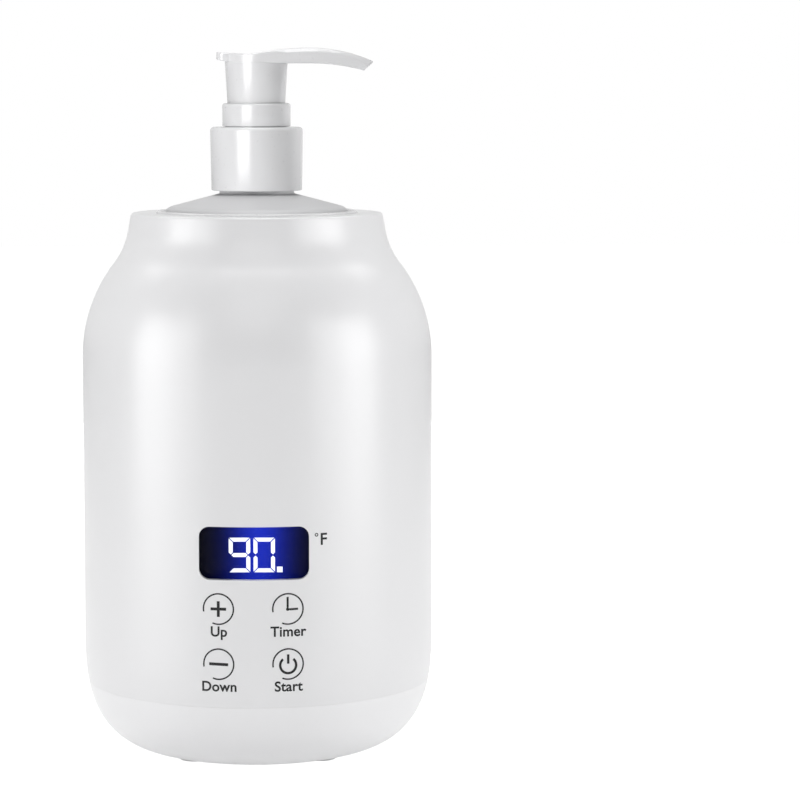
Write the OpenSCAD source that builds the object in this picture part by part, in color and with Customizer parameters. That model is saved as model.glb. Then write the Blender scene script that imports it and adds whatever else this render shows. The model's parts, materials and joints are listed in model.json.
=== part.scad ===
// Massage oil warmer: a heated well in a white round body, with a pump bottle that lifts out.
// Millimetres, +Z up, the feet stand on Z = 0, the display faces -Y and the spout points to +X.

/* [Warmer body] */
// Widest diameter of the body
body_d = 110.7; // [108:0.1:114]
// Height of the body's flat top above the table
body_h = 171; // [168:0.5:176]
// Wall thickness of the outer shell and the base
shell_t = 2.2; // [1.8:0.1:2.4]
// Diameter of the body at its top rim
rim_d = 79.2; // [78.6:0.2:82]
// Rounding of the top rim's edge
rim_edge = 0.8; // [0.4:0.1:1.2]
// Slope of the short neck under the rim, in degrees from upright
neck_slope = 10.2; // [9:0.2:12]
// Radius of the hollow curve under the neck
neck_curve = 24; // [22:1:28]
// Radius of the round shoulder
shoulder_curve = 47.5; // [46:0.5:50]
// Depth below the rim at which the shoulder meets the side wall
shoulder_depth = 45; // [43:0.5:47]
// How much the side wall draws in towards the shoulder
side_draft = 0.15; // [0:0.05:0.6]
// Width of the rounded bottom corner
corner_w = 32; // [30:0.5:34]
// Height of the rounded bottom corner
corner_h = 38; // [36:0.2:40]
// Squareness of the bottom corner, where 2 is an ellipse
corner_n = 2.8; // [2.5:0.1:3]
// Height of the seam between the base and the outer shell
seam_z = 23; // [21:0.5:25]
// Height of the underside of the base above the table
foot_stand = 0.5; // [0.4:0.1:1]

/* [Bottle] */
// Diameter of the bottle
bottle_d = 58.6; // [57:0.2:59.4]
// Height of the bottle's underside above the table
bottle_z = 46; // [45:0.5:50]
// Wall thickness of the bottle
bottle_t = 1.6; // [1.2:0.1:2]
// Thickness of the bottle's floor
bottle_floor_t = 2; // [1.6:0.1:3]
// Rounding of the bottle's lower edge
bottle_heel = 4; // [2:0.5:6]
// Rounding of the bottle's shoulder edge
bottle_edge = 3.5; // [2.5:0.5:5]
// Rise of the bottle's shoulder towards the neck, in degrees
bottle_rise = 14.4; // [12:0.2:16]
// How far the end of the bottle's side lies below the rim
shoulder_drop = 1.3; // [0.8:0.1:2]
// Diameter of the neck under its thread
neck_d = 23.5; // [23:0.1:23.8]
// Diameter of the neck between its thread ridges
thread_root_d = 21.7; // [21.4:0.1:21.9]
// Diameter over the neck's thread ridges
thread_d = 23.7; // [23.5:0.1:23.9]
// Height of the neck
neck_h = 15.7; // [15.4:0.1:16]
// Diameter of the bottle's mouth
mouth_d = 17.2; // [17:0.1:17.6]
// Rise of the thread in one turn
thread_pitch = 3.175; // [3.1:0.025:3.3]
// Turns of the bottle's thread
thread_turns = 1.5; // [1:0.25:1.75]

/* [Pump] */
// Diameter of the closure collar at its lower edge
collar_d = 28.6; // [28.4:0.1:30]
// How much wider the collar is at its top
collar_flare = 0.6; // [0:0.1:1]
// Height of the closure collar
collar_h = 19.9; // [19.5:0.1:20.5]
// Gap between the collar and the bottle's shoulder
collar_lift = 1.1; // [0.8:0.1:1.5]
// Thickness of the collar's top
collar_top_t = 1.6; // [1.4:0.1:1.8]
// Rounding of the collar's top edge
collar_edge = 1.2; // [0.8:0.1:1.6]
// Wall of the guide ring at its bore
ring_wall = 0.82; // [0.75:0.01:1.1]
// Height of the guide ring above the collar
ring_h = 7.4; // [7:0.1:8]
// Diameter of the pump head's barrel at its lower end
barrel_d = 18.2; // [17.8:0.1:18.4]
// Diameter of the pump head's barrel at its upper end
barrel_top_d = 19.7; // [19.2:0.1:19.7]
// Wall thickness of the pump head's barrel
barrel_t = 1.1; // [0.9:0.1:1.4]
// Height of the barrel's upper end above the guide ring
barrel_show = 12.6; // [12:0.1:13.5]
// How far the head travels when pressed
press_travel = 9; // [8:0.1:9]
// Diameter of the pump's chamber
chamber_d = 13; // [12.6:0.1:13.2]
// Wall thickness of the pump's housing
housing_t = 1.1; // [0.9:0.1:1.2]
// Diameter of the pump's stem
stem_d = 6.6; // [6.2:0.1:6.8]
// Bore of the pump's stem
stem_bore = 3.4; // [3:0.1:3.6]
// Height of the piston
piston_h = 5.7; // [5:0.1:6]
// Length of the spring with the head up
spring_l = 21.6; // [20.5:0.1:23]
// Wire thickness of the spring
spring_wire = 0.9; // [0.7:0.05:1]
// Diameter of the spring at the middle of its wire
spring_d = 9.6; // [9.4:0.1:10]
// Diameter of the valve ball
ball_d = 4.8; // [4.6:0.1:5]
// Diameter of the dip tube
tube_d = 6.2; // [5.8:0.1:6.6]
// Wall thickness of the dip tube
tube_t = 0.8; // [0.6:0.1:1]
// How far the dip tube ends above the bottle's floor
tube_lift = 2; // [1:0.5:4]

/* [Pump head] */
// Reach of the spout's tip from the pump's axis
spout_reach = 36.7; // [34:0.1:40]
// Reach of the thumb rest behind the pump's axis
rest_reach = 12.4; // [11.5:0.1:13.5]
// Width of the thumb rest
rest_w = 11; // [9:0.2:14]
// Height of the thumb rest's end above the barrel
rest_h = 3.3; // [3.1:0.1:3.8]
// Width of the spout at its tip
tip_w = 9.2; // [7:0.2:10]
// Height of the spout's highest point above the barrel
hump_h = 4.7; // [4.5:0.1:5.2]
// Distance of the spout's highest point from the pump's axis
hump_x = 17; // [15.5:0.1:18]
// Bore of the spout's channel
spout_bore = 2.4; // [2:0.1:2.6]

/* [Heating well] */
// Gap between the bottle and the well
well_gap = 0.8; // [0.6:0.1:1]
// Wall thickness of the well
well_t = 1.2; // [1:0.1:1.5]
// Thickness of the pad under the bottle
pad_t = 1.7; // [1.2:0.1:2.5]
// Gap between the bottle and the trim ring
trim_gap = 0.6; // [0.4:0.1:0.8]
// Width of the trim ring's visible lip
trim_w = 1.8; // [1.4:0.1:2]
// How far the trim ring stands above the body's top
trim_stand = 0.3; // [0.1:0.1:0.6]
// Width of the flanges that are clamped under the body's top
flange_w = 1.9; // [1.6:0.1:2]
// Thickness of the trim ring's flange
trim_t = 1.2; // [1:0.1:1.5]
// Thickness of the seal under the trim ring
seal_t = 0.8; // [0.6:0.1:1]
// Height of the clamp ring
clamp_h = 5.1; // [4.5:0.1:6]
// Thickness of the clamp ring's screw flange
clamp_t = 1.4; // [1.2:0.1:1.8]
// Thickness of the heater film
film_t = 0.4; // [0.3:0.05:0.5]
// Distance from the heater film up to the clamp ring
film_drop = 9.6; // [3:0.2:14]
// Height of the film's lower edge above the well's underside
film_lift = 16; // [12:1:18]
// Thickness of the insulation sleeve
sleeve_t = 2.8; // [2:0.2:3.2]
// Diameter of the thermistor and of the thermal fuse
sensor_d = 4; // [3.6:0.1:4.4]
// Thickness of the sensor clip's sheet
clip_t = 0.6; // [0.5:0.1:0.8]

/* [Display and touch keys] */
// Width of the display window
window_w = 33.3; // [32:0.1:34]
// Height of the display window
window_h = 16.2; // [15.6:0.1:17]
// Corner radius of the display window
window_corner = 3.2; // [2.6:0.1:5]
// Height of the window's middle above the table
window_z = 70.5; // [69:0.5:72]
// Width of the window's hidden lip
window_lip = 1; // [0.8:0.1:1]
// Distance from the shell's inner wall back to the display board
board_set = 9.5; // [9.2:0.1:10.5]
// Thickness of both circuit boards
board_t = 1.6; // [1.2:0.1:1.8]
// Width of the display board
board_w = 44; // [43:0.5:46]
// Distance from the display's light frame up to the board's upper screw posts
board_rise = 2.9; // [0.5:0.1:5]
// Height of the display board's lower edge above the table
board_z = 28; // [27:0.5:28.5]
// Thickness of the display's backlight housing
backlight_t = 3.3; // [3:0.1:3.6]
// Thickness of the display's glass
panel_t = 1.8; // [1.4:0.1:1.8]
// Height of the digits
digit_h = 10.6; // [9:0.1:11]
// Width of one digit
digit_w = 6.5; // [6:0.1:7]
// Distance between the two digits' middles
digit_step = 7.5; // [7.3:0.1:8]
// Width of a digit's strokes
stroke_w = 1.25; // [1:0.05:1.4]
// Distance between the two columns of touch keys
key_step_x = 21; // [19:0.5:23]
// Height of the upper touch keys above the table
key_upper_z = 53.3; // [52.5:0.1:54]
// Height of the lower touch keys above the table
key_lower_z = 36.5; // [36:0.1:38]
// Diameter of a touch spring
key_spring_d = 5; // [4:0.1:6]

/* [Power parts] */
// Height of the power socket's middle above the table
jack_z = 33; // [32:0.5:34]
// Diameter of the power socket's threaded barrel
jack_d = 8; // [7.6:0.1:8.4]
// Bore of the power socket
jack_bore = 5.7; // [5.5:0.1:5.9]
// Diameter of the power socket's centre pin
jack_pin_d = 2.1; // [2:0.05:2.5]
// Width of the power board
power_w = 52; // [50:1:54]
// Depth of the power board
power_l = 40; // [38:1:42]
// Height of the power board's underside above the table
power_z = 12; // [11:0.5:13]
// Diameter of the capacitor
cap_d = 8; // [6.5:0.5:9]
// Height of the capacitor
cap_h = 12; // [10:0.5:14]
// Diameter of a lead
lead_d = 1.4; // [1.2:0.1:1.6]

/* [Fasteners and feet] */
// Distance of the base screws from the axis
base_screw_r = 41.5; // [40.5:0.5:42]
// Diameter of the base screws
base_screw_d = 2.9; // [2.6:0.1:3]
// Diameter of the small screws
small_screw_d = 2; // [1.8:0.1:2.2]
// Diameter of a rubber foot
foot_d = 10; // [8:0.5:11]
// Distance of the feet from the axis
foot_r = 28; // [26:0.5:30]
// Depth of a foot's recess
foot_recess = 1.2; // [0.8:0.1:1.4]

/* [Clearances] */
// Play between pieces that stay together
fit_gap = 0.1; // [0.05:0.01:0.15]
// Play round pieces that slide or turn in a bore
run_gap = 0.08; // [0.05:0.01:0.1]
// Gap between a piece and the seat of another moving group
rest_gap = 0.25; // [0.15:0.05:0.3]
// Play between the two threads
thread_gap = 0.25; // [0.2:0.05:0.3]

/* [Hidden] */
$fn = 64;

// Body outline
body_r = body_d / 2;
inner_r = body_r - shell_t;
rim_r = rim_d / 2;
upper_r = body_r - side_draft;
corner_c = body_r - corner_w;
corner_top = foot_stand + corner_h;
shoulder_z = body_h - shoulder_depth;
plate_z = body_h - shell_t;
floor_z = foot_stand + shell_t;
arc_steps = 10;

// Middles of the shoulder curve and of the hollow neck curve, which touch each other
shoulder_mid = [upper_r - shoulder_curve, shoulder_z];
neck_out = [cos(neck_slope), sin(neck_slope)];
neck_down = [sin(neck_slope), -cos(neck_slope)];
neck_start = [rim_r, body_h] + neck_curve * neck_out - shoulder_mid;
neck_run = -neck_start * neck_down - sqrt(pow(neck_start * neck_down, 2)
    - neck_start * neck_start + pow(shoulder_curve + neck_curve, 2));
neck_mid = shoulder_mid + neck_start + neck_run * neck_down;
meet_angle = atan2(neck_mid[1] - shoulder_mid[1], neck_mid[0] - shoulder_mid[0]);

// Bottle and its neck
bottle_r = bottle_d / 2;
shoulder_line_z = body_h - shoulder_drop;
neck_r = neck_d / 2;
edge_end_r = bottle_r - bottle_edge * (1 - sin(bottle_rise));
edge_end_z = shoulder_line_z + bottle_edge * cos(bottle_rise);
neck_z = edge_end_z + (edge_end_r - neck_r) * tan(bottle_rise);
mouth_z = neck_z + neck_h;
mouth_r = mouth_d / 2;
thread_root_r = thread_root_d / 2;
thread_r = thread_d / 2;
thread_base_w = 1.8;
thread_crest_w = 0.8;
thread_sink = 0.35;
thread_start = 1.4;
bottle_thread_z = mouth_z - thread_start - thread_base_w / 2 - thread_turns * thread_pitch;
collar_turns = 1;

// Pump levels
collar_z = neck_z + collar_lift;
collar_top = collar_z + collar_h;
collar_r = collar_d / 2;
collar_under_z = collar_top - collar_top_t;
collar_bore_r = thread_r + thread_gap;
gasket_z = mouth_z + rest_gap;
gasket_t = 0.8;
flange_z = gasket_z + gasket_t;
flange_r = collar_bore_r - 2 * thread_gap;
flange_top = collar_under_z - rest_gap;
cup_floor_z = flange_z + 0.8;
guide_floor_t = 0.8;
guide_floor_z = cup_floor_z + guide_floor_t;
guide_wall = 0.55;
guide_in_r = barrel_d / 2 + 0.3;
guide_out_r = guide_in_r + guide_wall;
collar_hole_r = guide_out_r + rest_gap;
ring_z = collar_top + rest_gap;
ring_top = collar_top + ring_h;
ring_in_r = barrel_top_d / 2 + run_gap;
ring_r = ring_in_r + ring_wall;
barrel_top_z = ring_top + barrel_show;
barrel_z = guide_floor_z + rest_gap + press_travel;
head_round_r = barrel_top_d / 2 + 0.12;
chamber_r = chamber_d / 2;
housing_r = chamber_r + housing_t;
plug_r = chamber_r + 1;
plug_t = 0.8;
plug_h = 4;
housing_head_r = mouth_r - 0.4;
sleeve_r = stem_d / 2 + run_gap;
sleeve_h = 6.2;
stem_r = stem_d / 2;
piston_top = cup_floor_z - sleeve_h - rest_gap;
piston_z = piston_top - piston_h;
foot_flange_t = 1;
foot_flange_r = spring_d / 2 + spring_wire / 2;
stem_foot_z = piston_z - rest_gap - foot_flange_t;
spring_top = stem_foot_z - rest_gap;
spring_z = spring_top - spring_l;
spring_seat_r = spring_d / 2 - spring_wire;
ball_r = ball_d / 2;
ball_play = 0.8;
cage_r = ball_r + ball_play;
lip_t = 1;
ball_lift = 1.5;
ball_z = spring_z - lip_t - rest_gap - ball_lift - ball_r;
seat_gap = 0.1;
seat_apex_z = ball_z - (ball_r + seat_gap) * sqrt(2);
seat_hole_r = 1.5;
tube_r = tube_d / 2;
socket_top = seat_apex_z + seat_hole_r - 1;
socket_h = 9;
nozzle_r = tube_r + 1.2;
tube_z = bottle_z + bottle_floor_t + tube_lift;

// Heating well
well_r = bottle_r + well_gap;
well_out_r = well_r + well_t;
pad_z = bottle_z - rest_gap - pad_t;
well_z = pad_z - well_t;
trim_in_r = bottle_r + trim_gap;
trim_out_r = trim_in_r + trim_w;
opening_r = trim_out_r + fit_gap;
clamped_r = trim_out_r + flange_w;
trim_z = plate_z - trim_t;
seal_z = trim_z - seal_t;
well_top = seal_z;
clamp_top = well_top - well_t;
clamp_z = clamp_top - clamp_h;
clamp_boss_r = 2.3;
clamp_circle = clamped_r + fit_gap + clamp_boss_r;
clamp_in_r = well_out_r + fit_gap;
clamp_screw_l = 7;
film_r = well_out_r + fit_gap / 2;
film_z = well_z + film_lift;
film_h = clamp_z - film_drop - film_z;
sleeve_in_r = film_r + film_t + fit_gap / 2;
tail_h = 6;

// Display
board_y = -(inner_r - board_set);
board_back_y = board_y + board_t;
backlight_y = board_y - backlight_t;
panel_y = backlight_y - panel_t;
panel_w = window_w + 2 * window_lip;
panel_h = window_h + 2 * window_lip;
frame_wall = 1.2;
frame_w = panel_w + 2 * (frame_wall + 2 * fit_gap);
frame_h = panel_h + 2 * (frame_wall + 2 * fit_gap);
digit_t = 0.1;
digit_drop = 1.3;
digit_z = window_z - digit_drop;
digit_shift = 0.5;
dot_w = 1.7;
dot_gap = 0.6;
board_boss_r = 2.6;
board_hole_x = 18.6;
board_hole_inset = 3.5;
board_hole_low = board_z + board_hole_inset;
board_hole_high = window_z + frame_h / 2 + board_rise + board_boss_r;
board_h = board_hole_high + board_hole_inset - board_z;
small_head_r = small_screw_d * 0.95;
small_head_h = 1.3;
small_screw_l = 6;

// Power parts and the base
spigot_h = 2.5;
spigot_t = 1.3;
spigot_gap = 0.2;
jack_y = body_r - 1.5;
jack_r = jack_d / 2;
jack_flange_r = jack_r + 1.8;
jack_flange_t = 1.2;
jack_l = 12;
jack_block_l = 4;
jack_nut_t = 2.2;
jack_nut_w = jack_d + 3;
jack_tag_l = 3.5;
jack_pad_r = min(jack_flange_r + 2.2, jack_z - seam_z - spigot_h - rest_gap);
power_top = power_z + board_t;
power_y = 4;
post_inset = 4;
post_x = power_w / 2 - post_inset;
post_y = power_l / 2 - post_inset;
post_r = 3;
sensor_x = 6;
thermistor_l = 8;
fuse_l = 11;
sensor_mid_z = well_z - sensor_d / 2;
cap_at = [9, 12, power_top];
transistor_at = [-9, -8, power_top];
choke_at = [9, -6, power_top];
buzzer_at = [-12, 12, power_top];
socket_w = 5;
socket_l = 8;
socket_h_up = 5;
socket_top_z = power_top + socket_h_up;
socket_x = 20;
socket_y = power_y + post_y - 2.5;
ribbon_w = 8;
ribbon_t = 0.8;
ribbon_socket_h = 4.2;
ribbon_socket_t = 4;
ribbon_socket_y = power_y - power_l / 2 + 3;
lead_gap = 0.15;
lead_r = lead_d / 2;
base_boss_r = 3.8;
base_boss_z = 13;
base_boss_top = 40;
base_rib_t = 2;
base_head_r = base_screw_d * 0.95;
base_head_h = 2;
base_head_z = floor_z + 6;
base_screw_l = 17;
base_angles = [45, 135, 225, 315];
clamp_angles = [30, 150, 270];

// Colours
shell_white = [0.93, 0.93, 0.94];
pump_white = [0.9, 0.9, 0.91];
bottle_grey = [0.78, 0.78, 0.79];
board_green = [0.1, 0.35, 0.2];
metal_grey = [0.7, 0.71, 0.73];
dark_grey = [0.12, 0.12, 0.13];
lead_red = [0.7, 0.1, 0.08];

// Points along an arc in the plane
function arc(mid, r, a0, a1, n) = [
    for (i = [0:n])
        let (a = a0 + (a1 - a0) * i / n)
        [mid[0] + r * cos(a), mid[1] + r * sin(a)]
];

// Corners of a rectangle with rounded corners, about the origin
function rounded_rect(w, h, r, n = 5) = concat(
    arc([w / 2 - r, h / 2 - r], r, 0, 90, n),
    arc([r - w / 2, h / 2 - r], r, 90, 180, n),
    arc([r - w / 2, r - h / 2], r, 180, 270, n),
    arc([w / 2 - r, r - h / 2], r, 270, 360, n)
);

function reversed(list) = [for (i = [len(list) - 1:-1:0]) list[i]];

// The bottom corner is a squared ellipse that meets the flat underside and the side wall
function corner_angle(z, inset) =
    asin(pow((corner_top - z) / (corner_h - inset), corner_n / 2));
function corner_point(a, inset) = [
    corner_c + (corner_w - inset) * pow(cos(a), 2 / corner_n),
    corner_top - (corner_h - inset) * pow(sin(a), 2 / corner_n)
];
function corner_run(a0, a1, inset, n) =
    [for (i = [0:n]) corner_point(a0 + (a1 - a0) * i / n, inset)];

// Radius of the straight neck at a height
function rim_line_r(z, inset) =
    rim_r + (body_h - z) * tan(neck_slope) - inset / cos(neck_slope);

// Outline of the body from a height in the bottom corner up to a height in the neck
function body_outline(inset, z0, z1) = concat(
    corner_run(corner_angle(z0, inset), 0, inset, 4),
    arc(shoulder_mid, shoulder_curve - inset, 0, meet_angle, arc_steps),
    arc(neck_mid, neck_curve + inset, 180 + meet_angle, 180 + neck_slope, arc_steps / 2),
    [[rim_line_r(z1, inset), z1]]
);

// A closed tube or ridge through a row of equal rings of points
module sweep(rings) {
    n = len(rings[0]);
    last = (len(rings) - 1) * n;
    points = [for (ring = rings) each ring];
    sides = [
        for (i = [0:len(rings) - 2], j = [0:n - 1])
            let (a = i * n + j, b = i * n + (j + 1) % n)
            each [[a, b, b + n], [a, b + n, a + n]]
    ];
    ends = [[for (j = [n - 1:-1:0]) j], [for (j = [0:n - 1]) last + j]];
    polyhedron(points, concat(sides, ends), convexity = 8);
}

// A helix of any cross-section, given as radius and height pairs
module helix(section, z0, heights, step) {
    sweep([
        for (i = [0:len(heights) - 1])
            [for (q = section) [q[0] * cos(i * step), q[0] * sin(i * step), z0 + heights[i] + q[1]]]
    ]);
}

// A straight thread ridge that starts at a turn angle
module thread_ridge(root_r, crest_r, z0, turns, turn_angle) {
    steps = 30;
    sink = sign(root_r - crest_r) * thread_sink;
    sides = [
        [root_r + sink, -thread_base_w / 2], [crest_r, -thread_crest_w / 2],
        [crest_r, thread_crest_w / 2], [root_r + sink, thread_base_w / 2]
    ];
    section = root_r > crest_r ? reversed(sides) : sides;
    heights = [for (i = [0:turns * steps]) thread_pitch * i / steps];
    rotate([0, 0, turn_angle]) helix(section, z0, heights, 360 / steps);
}

// A wire spring, closed by one turn at each end
module wire_spring(mid_d, wire, length, active, steps, sides) {
    turns = active + 2;
    rise = (length - wire - 2 * wire) / active;
    heights = [
        for (i = [0:turns * steps])
            let (t = i / steps)
            t < 1 ? wire * t : t > turns - 1 ? wire + rise * active + wire * (t - turns + 1)
                : wire + rise * (t - 1)
    ];
    section = arc([mid_d / 2, wire / 2], wire / 2, 0, 360 - 360 / sides, sides - 1);
    helix(section, 0, heights, 360 / steps);
}

// A round lead through a few guide points, smoothed, with its plane facing a direction
module lead(points, d, facing) {
    cuts = 5;
    n = len(points);
    path = [
        for (i = [0:n - 2], k = [0:cuts - 1])
            let (t = k / cuts,
                 p0 = points[max(i - 1, 0)], p1 = points[i],
                 p2 = points[i + 1], p3 = points[min(i + 2, n - 1)])
            0.5 * (2 * p1 + (p2 - p0) * t + (2 * p0 - 5 * p1 + 4 * p2 - p3) * t * t
                + (3 * p1 - p0 - 3 * p2 + p3) * t * t * t),
        points[n - 1]
    ];
    sweep([
        for (i = [0:len(path) - 1])
            let (run = path[min(i + 1, len(path) - 1)] - path[max(i - 1, 0)],
                 side = cross(run, facing) / norm(cross(run, facing)),
                 up = cross(side, run) / norm(cross(side, run)))
            [for (j = [0:7]) path[i] + d / 2 * (cos(45 * j) * side + sin(45 * j) * up)]
    ]);
}

// A solid of revolution from radius and height pairs
module turned(points) {
    rotate_extrude($fn = 96) polygon(points);
}

// A flat ring between two heights
module ring_solid(out_r, in_r, z0, z1) {
    difference() {
        translate([0, 0, z0]) cylinder(r = out_r, h = z1 - z0);
        translate([0, 0, z0 - 1]) cylinder(r = in_r, h = z1 - z0 + 2);
    }
}

// The side wall alone, filled and drawn in by a distance
module wall_solid(inset) {
    turned([[0, corner_top], [body_r - inset, corner_top], [upper_r - inset, shoulder_z],
        [0, shoulder_z]]);
}

// An upright plate outline pushed forward from one depth to another
module front_block(points, z, y_back, y_front) {
    translate([0, y_back, z]) rotate([90, 0, 0]) linear_extrude(y_back - y_front) polygon(points);
}

// A rod along Y between two depths
module rod_y(x, z, r, y0, y1) {
    translate([x, y0, z]) rotate([-90, 0, 0]) cylinder(r = r, h = y1 - y0);
}

// A screw that points up, with the underside of its head at the origin
module screw(d, head_r, head_h, l) {
    difference() {
        union() {
            translate([0, 0, -head_h]) cylinder(r = head_r, h = head_h);
            cylinder(d = d, h = l);
        }
        for (a = [0, 90])
            rotate([0, 0, a]) translate([0, 0, -head_h])
                cube([head_r * 1.2, d / 5, head_h], center = true);
    }
}

module around(angles, r) {
    for (a = angles) rotate([0, 0, a]) translate([r, 0, 0]) children();
}

// Outer shell
module shell_wall() {
    rim = arc([rim_r - rim_edge, body_h - rim_edge], rim_edge, 0, 90, 3);
    outer = body_outline(0, seam_z, body_h - rim_edge);
    inner = body_outline(shell_t, seam_z, plate_z);
    turned(concat(outer, rim, [[opening_r, body_h], [opening_r, plate_z]], reversed(inner)));
}

module shell_bosses() {
    for (x = [-board_hole_x, board_hole_x], z = [board_hole_low, board_hole_high])
        rod_y(x, z, board_boss_r, -body_r, board_y);
    around(base_angles, base_screw_r) {
        translate([0, 0, base_boss_z])
            cylinder(r = base_boss_r, h = base_boss_top - base_boss_z);
        translate([0, -base_rib_t / 2, seam_z + spigot_h + rest_gap])
            cube([shell_t + body_r - base_screw_r, base_rib_t,
                base_boss_top - seam_z - spigot_h - rest_gap]);
    }
    around(clamp_angles, clamp_circle)
        translate([0, 0, clamp_z + clamp_t])
            cylinder(r = clamp_boss_r, h = body_h - shell_t / 2 - clamp_z - clamp_t);
    rod_y(0, jack_z, jack_pad_r, jack_y - shell_t, body_r);
}

module boss_limit() {
    translate([0, 0, base_boss_z - 1]) cylinder(r = base_screw_r + base_boss_r, h = seam_z);
    turned(concat([[0, seam_z]], body_outline(shell_t / 2, seam_z, body_h - shell_t / 2),
        [[0, body_h - shell_t / 2]]));
}

module outer_shell() color(shell_white) difference() {
    union() {
        shell_wall();
        intersection() {
            shell_bosses();
            boss_limit();
        }
    }
    front_block(rounded_rect(window_w, window_h, window_corner), window_z, 0, -body_r);
    for (x = [-board_hole_x, board_hole_x], z = [board_hole_low, board_hole_high])
        rod_y(x, z, small_screw_d / 2 + fit_gap / 2, board_y - small_screw_l, board_y + 1);
    around(base_angles, base_screw_r)
        translate([0, 0, base_boss_z - 1])
            cylinder(d = base_screw_d + fit_gap, h = base_screw_l);
    around(clamp_angles, clamp_circle)
        translate([0, 0, clamp_z]) cylinder(d = small_screw_d + fit_gap, h = clamp_screw_l);
    rod_y(0, jack_z, jack_flange_r + fit_gap, jack_y, body_r + 1);
    rod_y(0, jack_z, jack_r + fit_gap, jack_y - 2 * shell_t, body_r);
}

// Base with its spigot, screw sleeves, board posts and foot recesses
module base_shell() color(shell_white) difference() {
    union() {
        turned(concat([[0, foot_stand]], corner_run(90, corner_angle(seam_z, 0), 0, 16),
            corner_run(corner_angle(seam_z, shell_t), 90, shell_t, 16), [[0, floor_z]]));
        spigot_r = corner_point(corner_angle(seam_z, shell_t), shell_t)[0] - spigot_gap;
        neck = corner_point(corner_angle(seam_z - 4, shell_t), shell_t)[0];
        turned([[neck + 0.5, seam_z - 4], [spigot_r + shell_t / 2, seam_z - 0.5],
            [spigot_r + shell_t / 2, seam_z], [spigot_r, seam_z], [spigot_r, seam_z + spigot_h],
            [spigot_r - spigot_t, seam_z + spigot_h], [spigot_r - spigot_t, seam_z - 1]]);
        intersection() {
            around(base_angles, base_screw_r)
                cylinder(r = base_boss_r + 0.6, h = base_boss_z);
            turned(concat([[0, foot_stand]],
                corner_run(90, corner_angle(seam_z, shell_t / 2), shell_t / 2, 16),
                [[0, seam_z]]));
        }
        for (x = [-post_x, post_x], y = [-post_y, post_y])
            translate([x, y + power_y, foot_stand + 1])
                cylinder(r = post_r, h = power_z - foot_stand - 1);
    }
    around(base_angles, base_screw_r) {
        translate([0, 0, -1]) cylinder(r = base_head_r + 0.4, h = base_head_z + 1);
        cylinder(d = base_screw_d + 0.4, h = base_boss_z + 1);
    }
    around(base_angles, foot_r)
        cylinder(d = foot_d + 2 * fit_gap, h = foot_stand + foot_recess);
    for (x = [-post_x, post_x], y = [-post_y, post_y])
        translate([x, y + power_y, power_z - small_screw_l])
            cylinder(d = small_screw_d + fit_gap, h = small_screw_l + 1);
}

module rubber_feet() color([0.85, 0.85, 0.85])
    around(base_angles, foot_r)
        turned([[0, 0], [foot_d / 2 - 0.4, 0], [foot_d / 2, 0.4],
            [foot_d / 2, foot_stand + foot_recess], [0, foot_stand + foot_recess]]);

module base_screws() color(metal_grey)
    around(base_angles, base_screw_r)
        translate([0, 0, base_head_z]) screw(base_screw_d, base_head_r, base_head_h, base_screw_l);

// Display window, curved with the body, with a hidden lip behind the wall
module display_window() color([0.05, 0.06, 0.2, 0.6]) {
    intersection() {
        front_block(rounded_rect(window_w - 2 * fit_gap, window_h - 2 * fit_gap,
            window_corner - fit_gap), window_z, 0, -body_r);
        difference() {
            wall_solid(0);
            wall_solid(shell_t + window_lip);
        }
    }
    intersection() {
        front_block(rounded_rect(panel_w, panel_h, window_corner + window_lip),
            window_z, 0, -body_r);
        difference() {
            wall_solid(shell_t);
            wall_solid(shell_t + window_lip);
        }
    }
}

// Black frame that closes the way from the display board to the window
module light_frame() color(dark_grey) intersection() {
    difference() {
        front_block(rounded_rect(frame_w, frame_h, 1), window_z, board_y, -body_r);
        front_block(rounded_rect(panel_w + 4 * fit_gap, panel_h + 4 * fit_gap, 0.5),
            window_z, board_y + 1, -body_r - 1);
    }
    wall_solid(shell_t);
}

module backlight_housing() color(dark_grey)
    front_block(rounded_rect(panel_w, panel_h, 0.5), window_z, board_y, backlight_y);

module display_panel() color([0.05, 0.1, 0.6])
    front_block(rounded_rect(panel_w, panel_h, 0.5), window_z, backlight_y, panel_y);

// One bar of a digit with pointed ends, lying along X
function bar(l) = [
    [-l / 2, 0], [(stroke_w - l) / 2, stroke_w / 2], [(l - stroke_w) / 2, stroke_w / 2],
    [l / 2, 0], [(l - stroke_w) / 2, -stroke_w / 2], [(stroke_w - l) / 2, -stroke_w / 2]
];

// The lit bars of a digit: bottom, middle, top, lower left, lower right, upper left, upper right
module digit(lit) {
    side = (digit_h - stroke_w) / 2;
    across = digit_w - stroke_w;
    for (i = [0:2])
        if (lit[i]) translate([0, (i - 1) * side]) polygon(bar(across - 0.2));
    for (i = [0:3])
        if (lit[3 + i])
            translate([(i % 2 - 0.5) * across, (floor(i / 2) - 0.5) * side])
                rotate(90) polygon(bar(side - 0.2));
}

module digit_segments() color("white")
    translate([digit_shift, panel_y, digit_z]) rotate([90, 0, 0]) linear_extrude(digit_t) {
        translate([-digit_step / 2 - stroke_w, 0]) digit([true, true, true, false, true, true, true]);
        translate([digit_step / 2 - stroke_w, 0]) digit([true, false, true, true, true, true, true]);
        translate([digit_step / 2 - stroke_w + digit_w / 2 + dot_gap, -digit_h / 2])
            square(dot_w);
    }

module display_board() color(board_green) difference() {
    front_block([[-board_w / 2, 0], [board_w / 2, 0], [board_w / 2, board_h],
        [-board_w / 2, board_h]], board_z, board_back_y, board_y);
    for (x = [-board_hole_x, board_hole_x], z = [board_hole_low, board_hole_high])
        rod_y(x, z, small_screw_d / 2 + fit_gap, board_y - 1, board_back_y + 1);
}

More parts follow.
